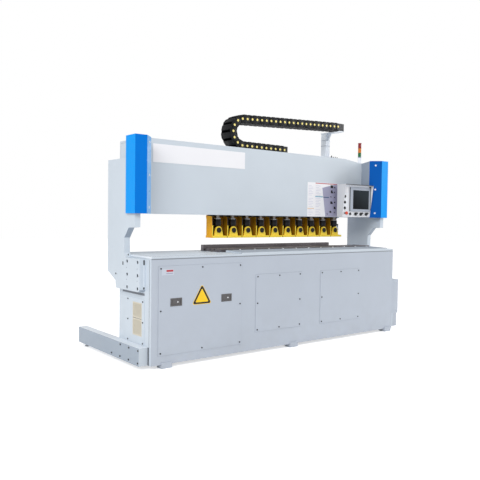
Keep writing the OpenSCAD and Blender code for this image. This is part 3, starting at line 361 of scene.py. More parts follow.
# Each finish: how it is made, its colour on a screen, or None where the panel in the
# sidebar sets it, and what it changes.
FINISHES = {
    "cabinet": (paint, None, FLOOR_SHEET),
    # painted light: a lighter copy of the grey for the columns, the cabinet's ends, the filter
    # panel and the beam's end plates, where the key light falls on the left-facing flanks
    "column": (paint, (206, 216, 226), FLOOR_SHEET),
    "beam": (paint, None, SHEET),
    # painted shade: a darker copy of the grey for the outrigger beams' flanks and the columns'
    # downward facets
    "foot beam": (paint, (160, 172, 186), SHEET),
    # painted highlight: a pale grey for edges and tops that catch the light, for the chain post
    # and for a strip in the column gap
    "rim": (paint, (230, 237, 245), {"peel": 0.04}),
    "ledge": (paint, (160, 168, 178), {"rough": 0.75, "mottle": 0.05, "gloss": 0.08}),
    "cover": (paint, None, FOLDED),
    # painted light: lit, shaded and highlit copies of the cover blue for the covers' folds and
    # flanks
    "cover side": (paint, (0, 156, 246), {**FOLDED, "gloss": 0.12}),
    "cover dark": (paint, (0, 88, 176), FOLDED),
    "cover pale": (paint, (110, 174, 232), {"rough": 0.3, "mottle": 0.02, "peel": 0.03}),
    "foot": (paint, None, CAST),
    # painted light: a lighter yellow for the feet's fronts, a deeper orange for the first foot's
    # left flank and a dark ochre for the back plates and ribs in the beam's shade
    "foot front": (paint, (255, 226, 76), {**CAST, "mottle": 0.03}),
    "foot flank": (paint, (250, 178, 16), {**CAST, "mottle": 0.06}),
    "foot rear": (paint, (156, 110, 8), {**CAST, "rough": 0.55, "mottle": 0.1, "gloss": 0.15}),
    "console": (paint, None, {"rough": 0.42, "mottle": 0.012}),
    # painted shade: a darker copy of the console white for its sides and rear
    "console side": (paint, (206, 208, 212), {"rough": 0.42}),
    "bezel": (paint, (164, 172, 186), {"rough": 0.34, "mottle": 0.03, "coat": 0.1}),
    "screen": (screen_glass, (4, 4, 8), {}),
    "red": (paint, (204, 66, 36), {"rough": 0.3, "mottle": 0.04, "coat": 0.2}),
    "black plastic": (paint, (26, 27, 30), {
        "rough": 0.36, "mottle": 0.06, "peel": 0.08, "peel_scale": 500.0, "coat": 0.15}),
    "filter": (paint, None, {
        "rough": 0.5, "mottle": 0.03, "peel": 0.06, "peel_scale": 500.0}),
    "chain": (paint, None, {
        "rough": 0.5, "mottle": 0.08, "peel": 0.12, "peel_scale": 420.0, "gloss": 0.2}),
    "chain pin": (paint, None, {"rough": 0.35, "mottle": 0.03, "peel": 0.05, "coat": 0.2}),
    # painted shade: a pale and a dark grey for the strips in the seams round the panels, under
    # the table plate, in the end grooves and below the column plates; the pale one also marks the
    # dowels and the chain post's bands
    "gasket": (paint, (172, 179, 190), SEAM_SHADE),
    "joint": (paint, (128, 133, 141), {**SEAM_SHADE, "mottle": 0.06}),
    "gap shade": (paint, (146, 157, 172), SHADE),
    # painted shadow: dark greys for the gap at the corner post, the column gap's corners and the
    # slots and holes on the flanks
    "gap dark": (paint, (92, 98, 108), SHADE),
    "dark inside": (paint, (40, 42, 46), {**SHADE, "mottle": 0.1}),
    "latch": (paint, (92, 90, 91), {"rough": 0.4, "mottle": 0.08, "peel": 0.15}),
    # painted shade: a darker grey inside the latch recesses and in the gap where the filter
    # frames meet
    "latch inside": (paint, (70, 66, 66), {"rough": 0.5, "mottle": 0.1}),
    "motor": (paint, (58, 61, 66), {"rough": 0.42, "mottle": 0.06, "peel": 0.2}),
    "yellow": (paint, (250, 206, 30), {"rough": 0.35, "mottle": 0.02, "peel": 0.03}),
    "sign black": (paint, (24, 24, 26), {"rough": 0.4, "mottle": 0.03, "peel": 0.03}),
    "sign red": (paint, (186, 52, 60), {**PRINT, "mottle": 0.03}),
    "label": (paint, (242, 242, 246), LABEL),
    "door label": (paint, (200, 207, 219), LABEL),
    "chart violet": (paint, (164, 163, 188), {**PRINT, "mottle": 0.08}),
    "chart grey": (paint, (196, 197, 216), {**PRINT, "mottle": 0.05}),
    "chart blue": (paint, (84, 160, 190), PRINT),
    "chart navy": (paint, (44, 84, 122), PRINT),
    "chart orange": (paint, (226, 190, 150), PRINT),
    "green lamp": (lamp_lens, (2, 98, 50), {}),
    "amber lamp": (lamp_lens, (204, 118, 28), {}),
    "red lamp": (lamp_lens, (136, 8, 20), {}),
    "table": (steel, (144, 148, 156), {
        "grain": (2.0, 90.0, 90.0), "rough": 0.24, "streaks": 0.14, "stain": 0.2,
        "metallic": 0.85}),
    "bed": (steel, None, {"rough": 0.36, "streaks": 0.16, "stain": 0.25}),
    "bright": (steel, (214, 216, 220), {"rough": 0.26}),
    "pad": (steel, (170, 172, 176), {"rough": 0.4, "metallic": 0.6}),
    "neck": (steel, (132, 128, 126), {**TURNED, "metallic": 0.8}),
    "rod": (steel, (66, 62, 60), {**TURNED, "rough": 0.34}),
    "barrel": (steel, (30, 30, 33), {
        "grain": (200.0, 200.0, 6.0), "rough": 0.34, "streaks": 0.2, "stain": 0.15,
        "metallic": 0.7}),
    "blackened": (steel, (34, 33, 35), {
        "rough": 0.42, "streaks": 0.2, "stain": 0.2, "metallic": 0.6}),
}


def finish(name):
    """The finish of that name, made when it is first asked for."""
    full_name = name + " finish"
    if full_name in bpy.data.materials:
        return bpy.data.materials[full_name]
    make, screen_colour, changes = FINISHES[name]
    if screen_colour is None:
        colour = tuple(getattr(bpy.context.scene.mill_paints, name.replace(" ", "_")))
    else:
        colour = tone(*screen_colour)
    return make(full_name, colour, **changes)


# Mesh helpers


def link(name, data):
    made = bpy.data.objects.new(name, data)
    bpy.context.scene.collection.objects.link(made)
    return made


def bake_modifiers(piece):
    """Turns the piece with its modifiers into a plain mesh."""
    bpy.context.view_layer.update()
    evaluated = piece.evaluated_get(bpy.context.evaluated_depsgraph_get())
    mesh = bpy.data.meshes.new_from_object(evaluated)
    piece.modifiers.clear()
    piece.data = mesh
    return piece


def smooth(piece):
    piece.data.shade_smooth()
    piece.data.set_sharp_from_angle(angle=math.radians(32))


def soften(piece, width):
    """Rounds the piece's edges and keeps its flat faces flat in the light."""
    smooth(piece)
    edge = piece.modifiers.new("edge", "BEVEL")
    edge.width = width
    edge.segments = 2
    edge.limit_method = "ANGLE"
    edge.angle_limit = math.radians(30)
    level = piece.modifiers.new("level", "WEIGHTED_NORMAL")
    level.keep_sharp = True
    return bake_modifiers(piece)


def block(bm, low, high):
    """Adds a box between two corners, in metres."""
    size = Vector(high) - Vector(low)
    middle = (Vector(high) + Vector(low)) / 2
    bmesh.ops.create_cube(bm, size=1.0, matrix=Matrix.Translation(middle)
                          @ Matrix.Diagonal((*size, 1.0)))


def drum(bm, place, radius, depth, turn=None, sides=32, tip=None):
    """Adds a cylinder along its own Z from place, turned by an Euler, in metres."""
    matrix = Matrix.Translation(place) @ (turn or Euler()).to_matrix().to_4x4() \
        @ Matrix.Translation((0, 0, depth / 2))
    bmesh.ops.create_cone(bm, cap_ends=True, segments=sides, radius1=radius,
                          radius2=radius if tip is None else tip, depth=depth, matrix=matrix)


def prism(bm, outline, place, turn, depth):
    """Adds a plate: a flat outline in its own X and Y, thickened along its own Z."""
    matrix = Matrix.Translation(place) @ turn.to_matrix().to_4x4()
    base, top = ([bm.verts.new(matrix @ Vector((x, y, z))) for x, y in outline]
                 for z in (0, depth))
    bm.faces.new(base[::-1])
    bm.faces.new(top)
    for i, corner in enumerate(base):
        j = (i + 1) % len(base)
        bm.faces.new((corner, base[j], top[j], top[i]))


# Turns that bring a piece's own Z to face a side of the machine.
FACING_FRONT = Euler((math.pi / 2, 0, 0))
FACING_LEFT = Euler((math.pi / 2, 0, -math.pi / 2))
FACING_RIGHT = Euler((math.pi / 2, 0, math.pi / 2))
FACING_REAR = Euler((-math.pi / 2, 0, 0))


def shape(name, build, finish_name, edge=None):
    """A new object from a function that fills a bmesh, its edges rounded if asked."""
    bm = bmesh.new()
    build(bm)
    bmesh.ops.recalc_face_normals(bm, faces=bm.faces)
    mesh = bpy.data.meshes.new(name)
    bm.to_mesh(mesh)
    bm.free()
    mesh.materials.append(finish(finish_name))
    piece = link(name, mesh)
    return soften(piece, edge) if edge else piece


def keep(piece, body="frame", replaces=()):
    """Says what the finished piece rides on, and the nodes it stands for."""
    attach(piece, body)
    if replaces:
        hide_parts(*replaces)


def fitting(name, build, finish_name, body="frame", edge=None, replaces=()):
    """A finished piece from a function that fills a bmesh."""
    keep(shape(name, build, finish_name, edge), body, replaces)


def boxes(name, corners, finish_name, body="frame", edge=None):
    """A finished piece of boxes, each given as x0, x1, y0, y1, z0, z1 in millimetres."""
    def build(bm):
        for x0, x1, y0, y1, z0, z1 in corners:
            block(bm, at(x0, y0, z0), at(x1, y1, z1))
    fitting(name, build, finish_name, body, edge)


def node_body(node):
    return frame["nodes"][node]["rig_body"]


def dressed(node, base, choose=None, edge=0.001, reshape=None):
    """A copy of a CAD node with rounded edges and one or more finishes, in its place.

    choose gives a face's finish from its middle in millimetres and its normal, and
    reshape gives a vertex its new place in millimetres.
    """
    mesh = frame["nodes"][node].data.copy()
    bm = bmesh.new()
    bm.from_mesh(mesh)
    for vertex in bm.verts if reshape else ():
        vertex.co = at(*reshape((vertex.co - CORNER) / MM))
    bmesh.ops.remove_doubles(bm, verts=bm.verts, dist=2e-5)
    bmesh.ops.dissolve_limit(bm, angle_limit=math.radians(1.0), verts=bm.verts,
                             edges=bm.edges)
    bm.to_mesh(mesh)
    bm.free()
    mesh.materials.clear()
    piece = soften(link(node + "_finished", mesh), edge)
    names = [base]
    for face in piece.data.polygons if choose else ():
        name = choose((face.center - CORNER) / MM, face.normal)
        if name not in names:
            names.append(name)
        face.material_index = names.index(name)
    for name in names:
        piece.data.materials.append(finish(name))
    keep(piece, node_body(node), [node])


# Geometry node trees


def repeating_tree(name, inputs):
    """A tree that repeats a template: its graph, its inputs and the repeating node."""
    tree = bpy.data.node_groups.new(name, "GeometryNodeTree")
    for label, kind in (("Geometry", "Geometry"), ("Template", "Object"),
                        ("Finish", "Material"), *inputs):
        tree.interface.new_socket(label, in_out="INPUT", socket_type="NodeSocket" + kind)
    tree.interface.new_socket("Geometry", in_out="OUTPUT", socket_type="NodeSocketGeometry")
    graph = Graph(tree)
    given = graph.add("NodeGroupInput").outputs
    template = graph.fed("GeometryNodeObjectInfo", {"Object": given["Template"]})
    repeat = graph.add("GeometryNodeInstanceOnPoints")
    graph.feed(repeat.inputs["Instance"], template["Geometry"])
    real = graph.fed("GeometryNodeRealizeInstances", {"Geometry": repeat.outputs["Instances"]})
    coated = graph.fed("GeometryNodeSetMaterial", {
        "Geometry": real["Geometry"], "Material": given["Finish"]})
    graph.fed("NodeGroupOutput", {"Geometry": coated["Geometry"]})
    return graph, given, repeat.inputs


def placing_tree(name):
    """Puts a template on each point of the mesh, turned by the point's own angles."""
    graph, given, repeat = repeating_tree(name, [("Size", "Float")])
    points = graph.fed("GeometryNodeMeshToPoints", {"Mesh": given["Geometry"]})
    turn = graph.fed("GeometryNodeInputNamedAttribute", {"Name": "turn"},
                     data_type="FLOAT_VECTOR")
    rotation = graph.fed("FunctionNodeEulerToRotation", {"Euler": turn["Attribute"]})
    graph.feed(repeat["Points"], points["Points"])
    graph.feed(repeat["Rotation"], rotation["Rotation"])
    graph.feed(repeat["Scale"], given["Size"])
    return graph.tree


def row_tree(name):
    """Repeats a template along a straight row."""
    graph, given, repeat = repeating_tree(name, [
        ("Count", "Int"), ("Start", "Vector"), ("Step", "Vector")])
    line = graph.fed("GeometryNodeMeshLine", {
        "Count": given["Count"], "Start Location": given["Start"], "Offset": given["Step"]},
        mode="OFFSET")
    graph.feed(repeat["Points"], line["Mesh"])
    return graph.tree


def run_tree(piece, name, build, values):
    """Runs a geometry tree on the piece with its named inputs, and keeps the mesh."""
    tree = bpy.data.node_groups.get(name) or build(name)
    modifier = piece.modifiers.new(name, "NODES")
    modifier.node_group = tree
    for item in tree.interface.items_tree:
        if item.in_out == "INPUT" and item.name in values:
            modifier[item.identifier] = values[item.name]
    bake_modifiers(piece)
    if not piece.data.polygons:
        raise RuntimeError(f"{piece.name} came out empty")
    smooth(piece)
    return piece


def placed_pieces(name, template, finish_name, places):
    """Copies of a template at each place with its turn, as one mesh."""
    mesh = bpy.data.meshes.new(name)
    mesh.from_pydata([place for place, _ in places], [], [])
    turns = mesh.attributes.new("turn", "FLOAT_VECTOR", "POINT")
    for item, (_, turn) in zip(turns.data, places):
        item.vector = Vector(turn)
    return run_tree(link(name, mesh), "Place Pieces", placing_tree, {
        "Template": template, "Finish": finish(finish_name), "Size": 1.0})


def row_of_pieces(name, template, finish_name, count, start, step):
    """Copies of a template in a straight row, as one mesh."""
    return run_tree(link(name, bpy.data.meshes.new(name)), "Row Of Pieces", row_tree, {
        "Template": template, "Finish": finish(finish_name), "Count": count,
        "Start": tuple(start), "Step": tuple(step)})


def repeated(name, build, finish_name, places, edge=None):
    """One small shape at each place with its turn, as one finished piece."""
    template = shape(name + "_template", build, finish_name, edge)
    keep(placed_pieces(name, template, finish_name, places))
    discard(template)


def discard(*templates):
    for template in templates:
        bpy.data.objects.remove(template)


# Stage


CAMERA_PLACE = (-2606.3, -4583.5, 1359.4)

# Each lamp's place, what it shines at, and the side of its square in metres.
LAMPS = {
    "key": ((-8900, -5800, 7800), (1300, 300, 1100), 5.5),
    "fill": ((2600, -6800, 3600), (1700, 300, 1100), 5.0),
    "top": ((1700, 300, 6500), (1700, 300, 1000), 4.0),
    "side": ((9500, -2100, 3900), (3000, 300, 1300), 3.6),
}


class MILL_OT_stage(bpy.types.Operator):
    """Makes the camera, the light, the surroundings and the floor"""

    bl_idname = "mill.stage"
    bl_label = "Stage"

    def execute(self, context):
        settings = context.scene.mill_stage
        self.camera(context, settings)
        self.surroundings(context, settings)
        for name, (place, target, size) in LAMPS.items():
            self.light(name, at(*place), at(*target), size, getattr(settings, name))
        self.floor()
        return {"FINISHED"}

    def camera(self, context, settings):
        ahead = Vector((math.sin(settings.yaw) * math.cos(settings.pitch),
                        math.cos(settings.yaw) * math.cos(settings.pitch),
                        -math.sin(settings.pitch)))
        right = Vector((math.cos(settings.yaw), -math.sin(settings.yaw), 0))
        down = ahead.cross(right)
        turned_right = math.cos(settings.roll) * right + math.sin(settings.roll) * down
        turned_down = math.cos(settings.roll) * down - math.sin(settings.roll) * right
        lens = bpy.data.cameras.new("photo camera")
        lens.lens = settings.lens
        lens.sensor_width = 36.0
        lens.clip_end = 100.0
        camera = link("photo_camera", lens)
        axes = Matrix((turned_right, -turned_down, -ahead)).transposed()
        camera.matrix_world = Matrix.Translation(at(*CAMERA_PLACE)) @ axes.to_4x4()
        context.scene.camera = camera

    def surroundings(self, context, settings):
        """White where the camera looks, and dimmer as a light on the machine."""
        context.scene.view_settings.view_transform = "Standard"
        world = bpy.data.worlds.new("studio")
        world.use_nodes = True
        context.scene.world = world
        graph = Graph(world.node_tree)
        backdrop = world.node_tree.nodes["Background"].inputs
        backdrop["Color"].default_value = (1, 1, 1, 1)
        path = graph.add("ShaderNodeLightPath").outputs
        seen = graph.math("MAXIMUM", path["Is Camera Ray"], path["Is Transmission Ray"])
        graph.feed(backdrop["Strength"], graph.span(seen, 0.0, 1.0, settings.sky, 1.0))

    def light(self, name, place, target, size, power):
        lamp = bpy.data.lights.new(name + " light", "AREA")
        lamp.shape = "SQUARE"
        lamp.size = size
        lamp.energy = power
        lamp_object = link(name + "_light", lamp)
        lamp_object.location = place
        lamp_object.rotation_euler = (target - place).to_track_quat("-Z", "Y").to_euler()

    def floor(self):
        """A plain pale floor that is white to the camera and still takes the shadow."""
        mesh = bpy.data.meshes.new("studio_floor")
        bm = bmesh.new()
        block(bm, (-30, -30, -0.02), (30, 30, 0))
        bmesh.ops.recalc_face_normals(bm, faces=bm.faces)
        bm.to_mesh(mesh)
        bm.free()
        material, graph, shader = new_material("studio floor")
        place = graph.add("ShaderNodeTexCoord").outputs["Object"]
        graph.feed(shader["Base Color"], graph.mix(
            graph.noise(place, 0.6, 3.0), (0.80, 0.80, 0.80), (0.84, 0.84, 0.84)))
        shader["Roughness"].default_value = 0.8
        path = graph.add("ShaderNodeLightPath").outputs
        seen = graph.math("MAXIMUM", path["Is Camera Ray"], path["Is Glossy Ray"])
        shader["Emission Color"].default_value = (1, 1, 1, 1)
        graph.feed(shader["Emission Strength"], graph.math("MULTIPLY", seen, 0.56))
        mesh.materials.append(material)
        link("studio_floor", mesh)


# Cabinet, columns and beam


# CAD nodes that stay as they are and only get a finish.
COATED_NODES = {
    "panel_screws": "blackened", "column_bolts": "blackened", "foot_guides": "bright",
    "carriage_rails": "bright", "drive_rack": "bright", "drive_pinion": "bright",
    "cover_screws": "console", "guide_blocks": "bright",
}
# Nodes with one finish, and the rounding of their edges in metres, or None where the
# panel in the sidebar sets it.
PLAIN_NODES = {
    "panel_a": ("cabinet", 0.001), "small_panels": ("cabinet", 0.001),
    # the filter panel takes the lighter column grey: painted light on the left end
    "filter_panel": ("column", 0.001), "chain_tray": ("beam", 0.001),
    "electrical_box": ("cabinet", 0.003), "clamp_bar": ("bed", 0.001),
    "work_bed": ("bed", 0.001), "carriage_saddle": ("cover", None),
    # the chain post takes the pale grey: painted highlight
    "head_slide": ("cover", None), "chain_post": ("rim", None),
    "feed_motor": ("motor", None), "milling_head": ("motor", None),
    "spindle_cutter": ("bright", 0.0005),
}
TABLE_TOP = 1016
LEDGE_X = 1016
RIB_X = (770, 800)
RIB_TOP = 1019
RIGHT_END_X = 3000
FRONT_HIGHLIGHT_Y = 31
PLINTH_TOP = 60
BEAM_UPPER_EDGE = 2000
BRACKET_DROP = 22
TRAY_CUT = 40
PAD_TOP = 12.5
LATCH_FACE_Y, PADDLE_FACE_Y = -4.5, -5.2
TOWER_FOOT_TOP, GREEN_LAMP_TOP, AMBER_LAMP_TOP = 2181, 2230, 2288
COLLAR_BELOW, COLLAR_HEIGHT = 18, 15


def table_face(place, normal):
    """The plate's top is bare steel, its left edge has a painted highlight in the pale grey, and
    the ledge is painted.
    """
    if normal.z > 0.9 and place.x < LEDGE_X:
        return "table"
    if place.z < TABLE_TOP and normal.x < -0.5:
        return "rim"
    if place.z > TABLE_TOP + 4 and place.x > LEDGE_X:
        return "ledge"
    return "cabinet" if normal.y < -0.5 and place.z > TABLE_TOP else "beam"


def lower_rib(place):
    """Brings the low rib across the table plate down."""
    on_rib = RIB_X[0] < place.x < RIB_X[1] and place.z > TABLE_TOP + 1
    return Vector((place.x, place.y, RIB_TOP)) if on_rib else place


def cabinet_face(place, normal):
    """The cabinet's ends take the lighter column grey as painted light, and the front edge the
    pale grey as a painted highlight.
    """
    if abs(normal.x) < 0.5 or 1 < place.x < MACHINE_LENGTH - 1 or place.z < PLINTH_TOP:
        return "cabinet"
    return "rim" if place.y < FRONT_HIGHLIGHT_Y else "column"


def column_face(place, normal):
    # painted shade: the downward facets take the darker grey, the rest the lighter column grey as
    # painted light
    return "foot beam" if normal.z < -0.3 and normal.y < -0.3 else "column"


def beam_face(place, normal):
    # painted highlight: the upper top faces take the pale grey
    return "rim" if normal.z > 0.4 and place.z > BEAM_UPPER_EDGE else "beam"


def foot_beam_face(place, normal):
    # painted light: the tops take the pale grey as highlight, the fronts the beam grey, the
    # flanks the darker grey as shade
    if normal.z > 0.3:
        return "rim"
    return "beam" if normal.y < -0.6 else "foot beam"


def cover_face(place, normal):
    """The covers' folds carry painted light: on the left cover a painted highlight on the
    right-facing fold and a lit blue on the left flank; on the right cover painted shade on the
    left-facing fold and the lit blue on its other faces.
    """
    if place.x > RIGHT_END_X:
        return "cover dark" if normal.x < -0.3 else "cover side"
    if abs(normal.x) < 0.3:
        return "cover"
    return "cover pale" if normal.x > 0.3 else "cover side"


def bracket_face(place, normal):
    return "gap shade" if normal.x < -0.5 and place.x > RIGHT_END_X else "cabinet"


def lower_bracket(place):
    """Slopes the top of the sheet boxes down to the rear."""
    at_rear_top = place.y > 400 and place.z > 2085
    return place - Vector((0, 0, BRACKET_DROP)) if at_rear_top else place


def shorten_tray(place):
    """Takes a little off the chip tray's left end."""
    return place + Vector((TRAY_CUT, 0, 0)) if place.x < 200 else place


def tower_face(place, _):
    if place.z < TOWER_FOOT_TOP:
        return "gap shade" if place.z > TOWER_FOOT_TOP - 15 else "console"
    if place.z < GREEN_LAMP_TOP:
        return "green lamp"
    return "amber lamp" if place.z < AMBER_LAMP_TOP else "red lamp"


class MILL_OT_frame(bpy.types.Operator):
    """Finishes the painted and machined parts of the frame"""

    bl_idname = "mill.frame"
    bl_label = "Frame"

    def execute(self, context):
        sheet_edge = context.scene.mill_sizes.edge
        for node, name in COATED_NODES.items():
            data = frame["nodes"][node].data
            data.materials.clear()
            data.materials.append(finish(name))
        for node, (name, edge) in PLAIN_NODES.items():
            dressed(node, name, edge=edge or sheet_edge)
        dressed("table_top", "beam", table_face, 0.004, lower_rib)
        dressed("base_cabinet", "cabinet", cabinet_face, sheet_edge)
        dressed("side_columns", "column", column_face, 0.002)
        dressed("cross_beam", "beam", beam_face, sheet_edge)
        dressed("end_covers", "cover", cover_face)
        dressed("cover_brackets", "cabinet", bracket_face, sheet_edge, lower_bracket)
        dressed("levelling_feet", "blackened",
                lambda place, _: "pad" if place.z < PAD_TOP else "blackened")
        dressed("chip_tray", "cabinet", reshape=shorten_tray)
        dressed("foot_beams", "foot beam", foot_beam_face, 0.006)
        # the latch recesses take the darker grey: painted shade
        dressed("latch_frames", "latch",
                lambda place, _: "latch inside" if place.y > LATCH_FACE_Y else "latch")
        for side in ("left", "right"):
            dressed("latch_paddle_" + side, "latch",
                    lambda place, _: "bright" if place.y < PADDLE_FACE_Y else "latch")
        dressed("signal_tower", "console", tower_face)
        self.tower_collar()
        return {"FINISHED"}

    def tower_collar(self):
        low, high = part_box("signal_tower")
        foot = Vector(((low.x + high.x) / 2, (low.y + high.y) / 2,
                       at(0, 0, TOWER_FOOT_TOP - COLLAR_BELOW).z))
        radius = (high.x - low.x) * 0.36
        fitting("tower_collar", lambda bm: drum(bm, foot, radius, COLLAR_HEIGHT * MM),
                "gap shade")


# Press feet


FOOT_PINS_X = [1096 + 200 * i for i in range(10)]
PIN_Z = 1240
ROD_Y = 529
ROD_RADIUS = 19
NECK_Z = 1358
NECK_RADIUS = 22.5
PLATE_FRONT_Y = 532
FLANGE_TOP = 1181
HALF_BETWEEN_RIBS = 83


def foot_face(x):
    """Gives each face of the foot at x its finish: casting, pin and washers, rod, and painted
    light: black on the rear lug and the upper end of the left rib as shade, and lit and shaded
    copies of the yellow.
    """
    def choose(place, normal):
        off_pin, up = math.hypot(place.x - x, place.z - PIN_Z), place.z - PIN_Z
        in_front = off_pin < 29 and place.y < 497.6
        # the rear lug is painted black: painted shade
        shaded_rear_lug = abs(place.x - x) < 70 and 530 < place.y < 573.5 and -58 < up < 60
        between = off_pin < 29.5 and 515 < place.y < 542.5
        if in_front or shaded_rear_lug or between:
            return "blackened"
        if math.hypot(place.x - x, place.y - ROD_Y) < ROD_RADIUS and up > 20:
            return "rod"
        if off_pin < 16.1 and abs(normal.y) < 0.5:
            return "blackened"
        # back plates, and the other feet's left ribs, take the dark ochre: painted shade
        if normal.y < -0.5 and place.y > PLATE_FRONT_Y and place.z > FLANGE_TOP:
            return "foot rear"
        if normal.x < -0.7 and place.x < x - 94:
            return "foot flank" if place.x < FOOT_PINS_X[0] else "foot rear"
        if normal.y < -0.5 and place.y < 500:
            # the left rib's upper front end is painted black: painted shade
            shaded_rib_end = place.x < x - HALF_BETWEEN_RIBS and place.z > 1300
            return "blackened" if shaded_rib_end else "foot front"
        return "foot"
    return choose


def one_rib(x):
    """Lays the right rib flat against the back plate and fills out the left one."""
    def reshape(place):
        between_ribs = abs(place.x - x) < HALF_BETWEEN_RIBS + 0.5
        if between_ribs or place.y > 573 or place.z < FLANGE_TOP + 0.5:
            return place
        if place.x > x:
            return Vector((place.x, 574.5, place.z if place.z > 1230 else FLANGE_TOP + 0.3))
        return Vector((place.x, 486 if place.z < 1300 else 490, min(place.z, 1384)))
    return reshape


def cylinder_face(place, _):
    if place.z < NECK_Z - 0.5:
        return "barrel"
    return "pad" if place.z < NECK_Z + 10.5 else "neck"


def slim_neck(place):
    """Draws the cylinders' necks in above their collars."""
    x = min(FOOT_PINS_X, key=lambda pin_x: abs(pin_x - place.x))
    off = math.hypot(place.x - x, place.y - ROD_Y)
    if place.z < NECK_Z + 9 or not 26 < off < 30:
        return place
    slim = NECK_RADIUS / off
    return Vector((x + (place.x - x) * slim, ROD_Y + (place.y - ROD_Y) * slim, place.z))


class MILL_OT_press_feet(bpy.types.Operator):
    """Finishes the yellow feet with their pins and rods, and the cylinders above them"""

    bl_idname = "mill.press_feet"
    bl_label = "Press feet"

    def execute(self, context):
        edge = context.scene.mill_sizes.cast_edge
        for number, x in enumerate(FOOT_PINS_X, start=1):
            dressed(f"press_foot_{number}", "foot", foot_face(x), edge, one_rib(x))
        dressed("clamp_cylinders", "barrel", cylinder_face, 0.0015, slim_neck)
        return {"FINISHED"}


# Drag chain


LINK_PITCH = 70.0
LINK_HALF_HEIGHT = 48.0
EAR_RADIUS = 36.0
BEND = Vector((1478.0, 0.0, 2323.0))
BEND_RADIUS = 148.0
BEND_LINKS = 6
UPPER_LINKS = 22
LOWER_LINKS = 9
UPPER_STEP = 69.9
CHAIN_RISE = 76.0
CHAIN_Y = (570.0, 743.0)
CHEEK = 5.0
UPPER_END_X = 3101.0
LOWER_END = 48.0
ARM_TOP = 2496.0
TRAY_TOP = 2125.0


def bend_pins():
    """Pins of the bend, from its bottom to its top."""
    step = 2 * math.asin(LINK_PITCH / 2 / BEND_RADIUS)
    angles = [math.pi + (BEND_LINKS / 2 - k) * step for k in range(BEND_LINKS + 1)]
    return [BEND + BEND_RADIUS * Vector((math.cos(a), 0, math.sin(a))) for a in angles]


def run_pins():
    """Pins of the lower run, the bend and the upper run, each in order."""
    bend = bend_pins()
    bottom, top = bend[0], bend[-1]
    upper = [top + Vector((UPPER_STEP * j, 0, CHAIN_RISE * j / UPPER_LINKS))
             for j in range(UPPER_LINKS + 1)]
    lower = [bottom + Vector((LINK_PITCH * j, 0, 0)) for j in range(LOWER_LINKS + 1)]
    return lower, bend, upper


def link_outline():
    """A link's side plate: square shoulders in the middle and a round ear at each pin."""
    points = []
    for x, side in ((LINK_PITCH, 1), (0.0, -1)):
        shoulder = x - side * 14
        points.append((shoulder, -side * LINK_HALF_HEIGHT))
        for k in range(9):
            angle = math.radians(-62 + 124 * k / 8)
            points.append((x + side * EAR_RADIUS * math.cos(angle),
                           side * EAR_RADIUS * math.sin(angle)))
        points.append((shoulder, side * LINK_HALF_HEIGHT))
    return [(x * MM, z * MM) for x, z in points]


def build_link(inset):
    """One closed link with side plates, lids on both sides and a stiffening frame."""
    def build(bm):
        near, far = CHAIN_Y[0] + inset, CHAIN_Y[1] - inset
        outline = link_outline()
        for y in (near + CHEEK, far):
            prism(bm, outline, Vector((0, y * MM, 0)), FACING_FRONT, CHEEK * MM)
        for side in (-1, 1):
            z0, z1 = sorted((side * 41.0, side * 46.5))
            block(bm, Vector((4, CHAIN_Y[0] + 11, z0)) * MM,
                  Vector((66, CHAIN_Y[1] - 11, z1)) * MM)
            rib0, rib1 = sorted((side * 46.5, side * 48.5))
            for x in (12.0, 50.0):
                block(bm, Vector((x, CHAIN_Y[0] + 22, rib0)) * MM,
                      Vector((x + 8, CHAIN_Y[1] - 22, rib1)) * MM)
        for z0, z1 in ((-47, -38), (38, 47)):
            block(bm, Vector((18, near - 1.5, z0)) * MM, Vector((52, near, z1)) * MM)
    return build


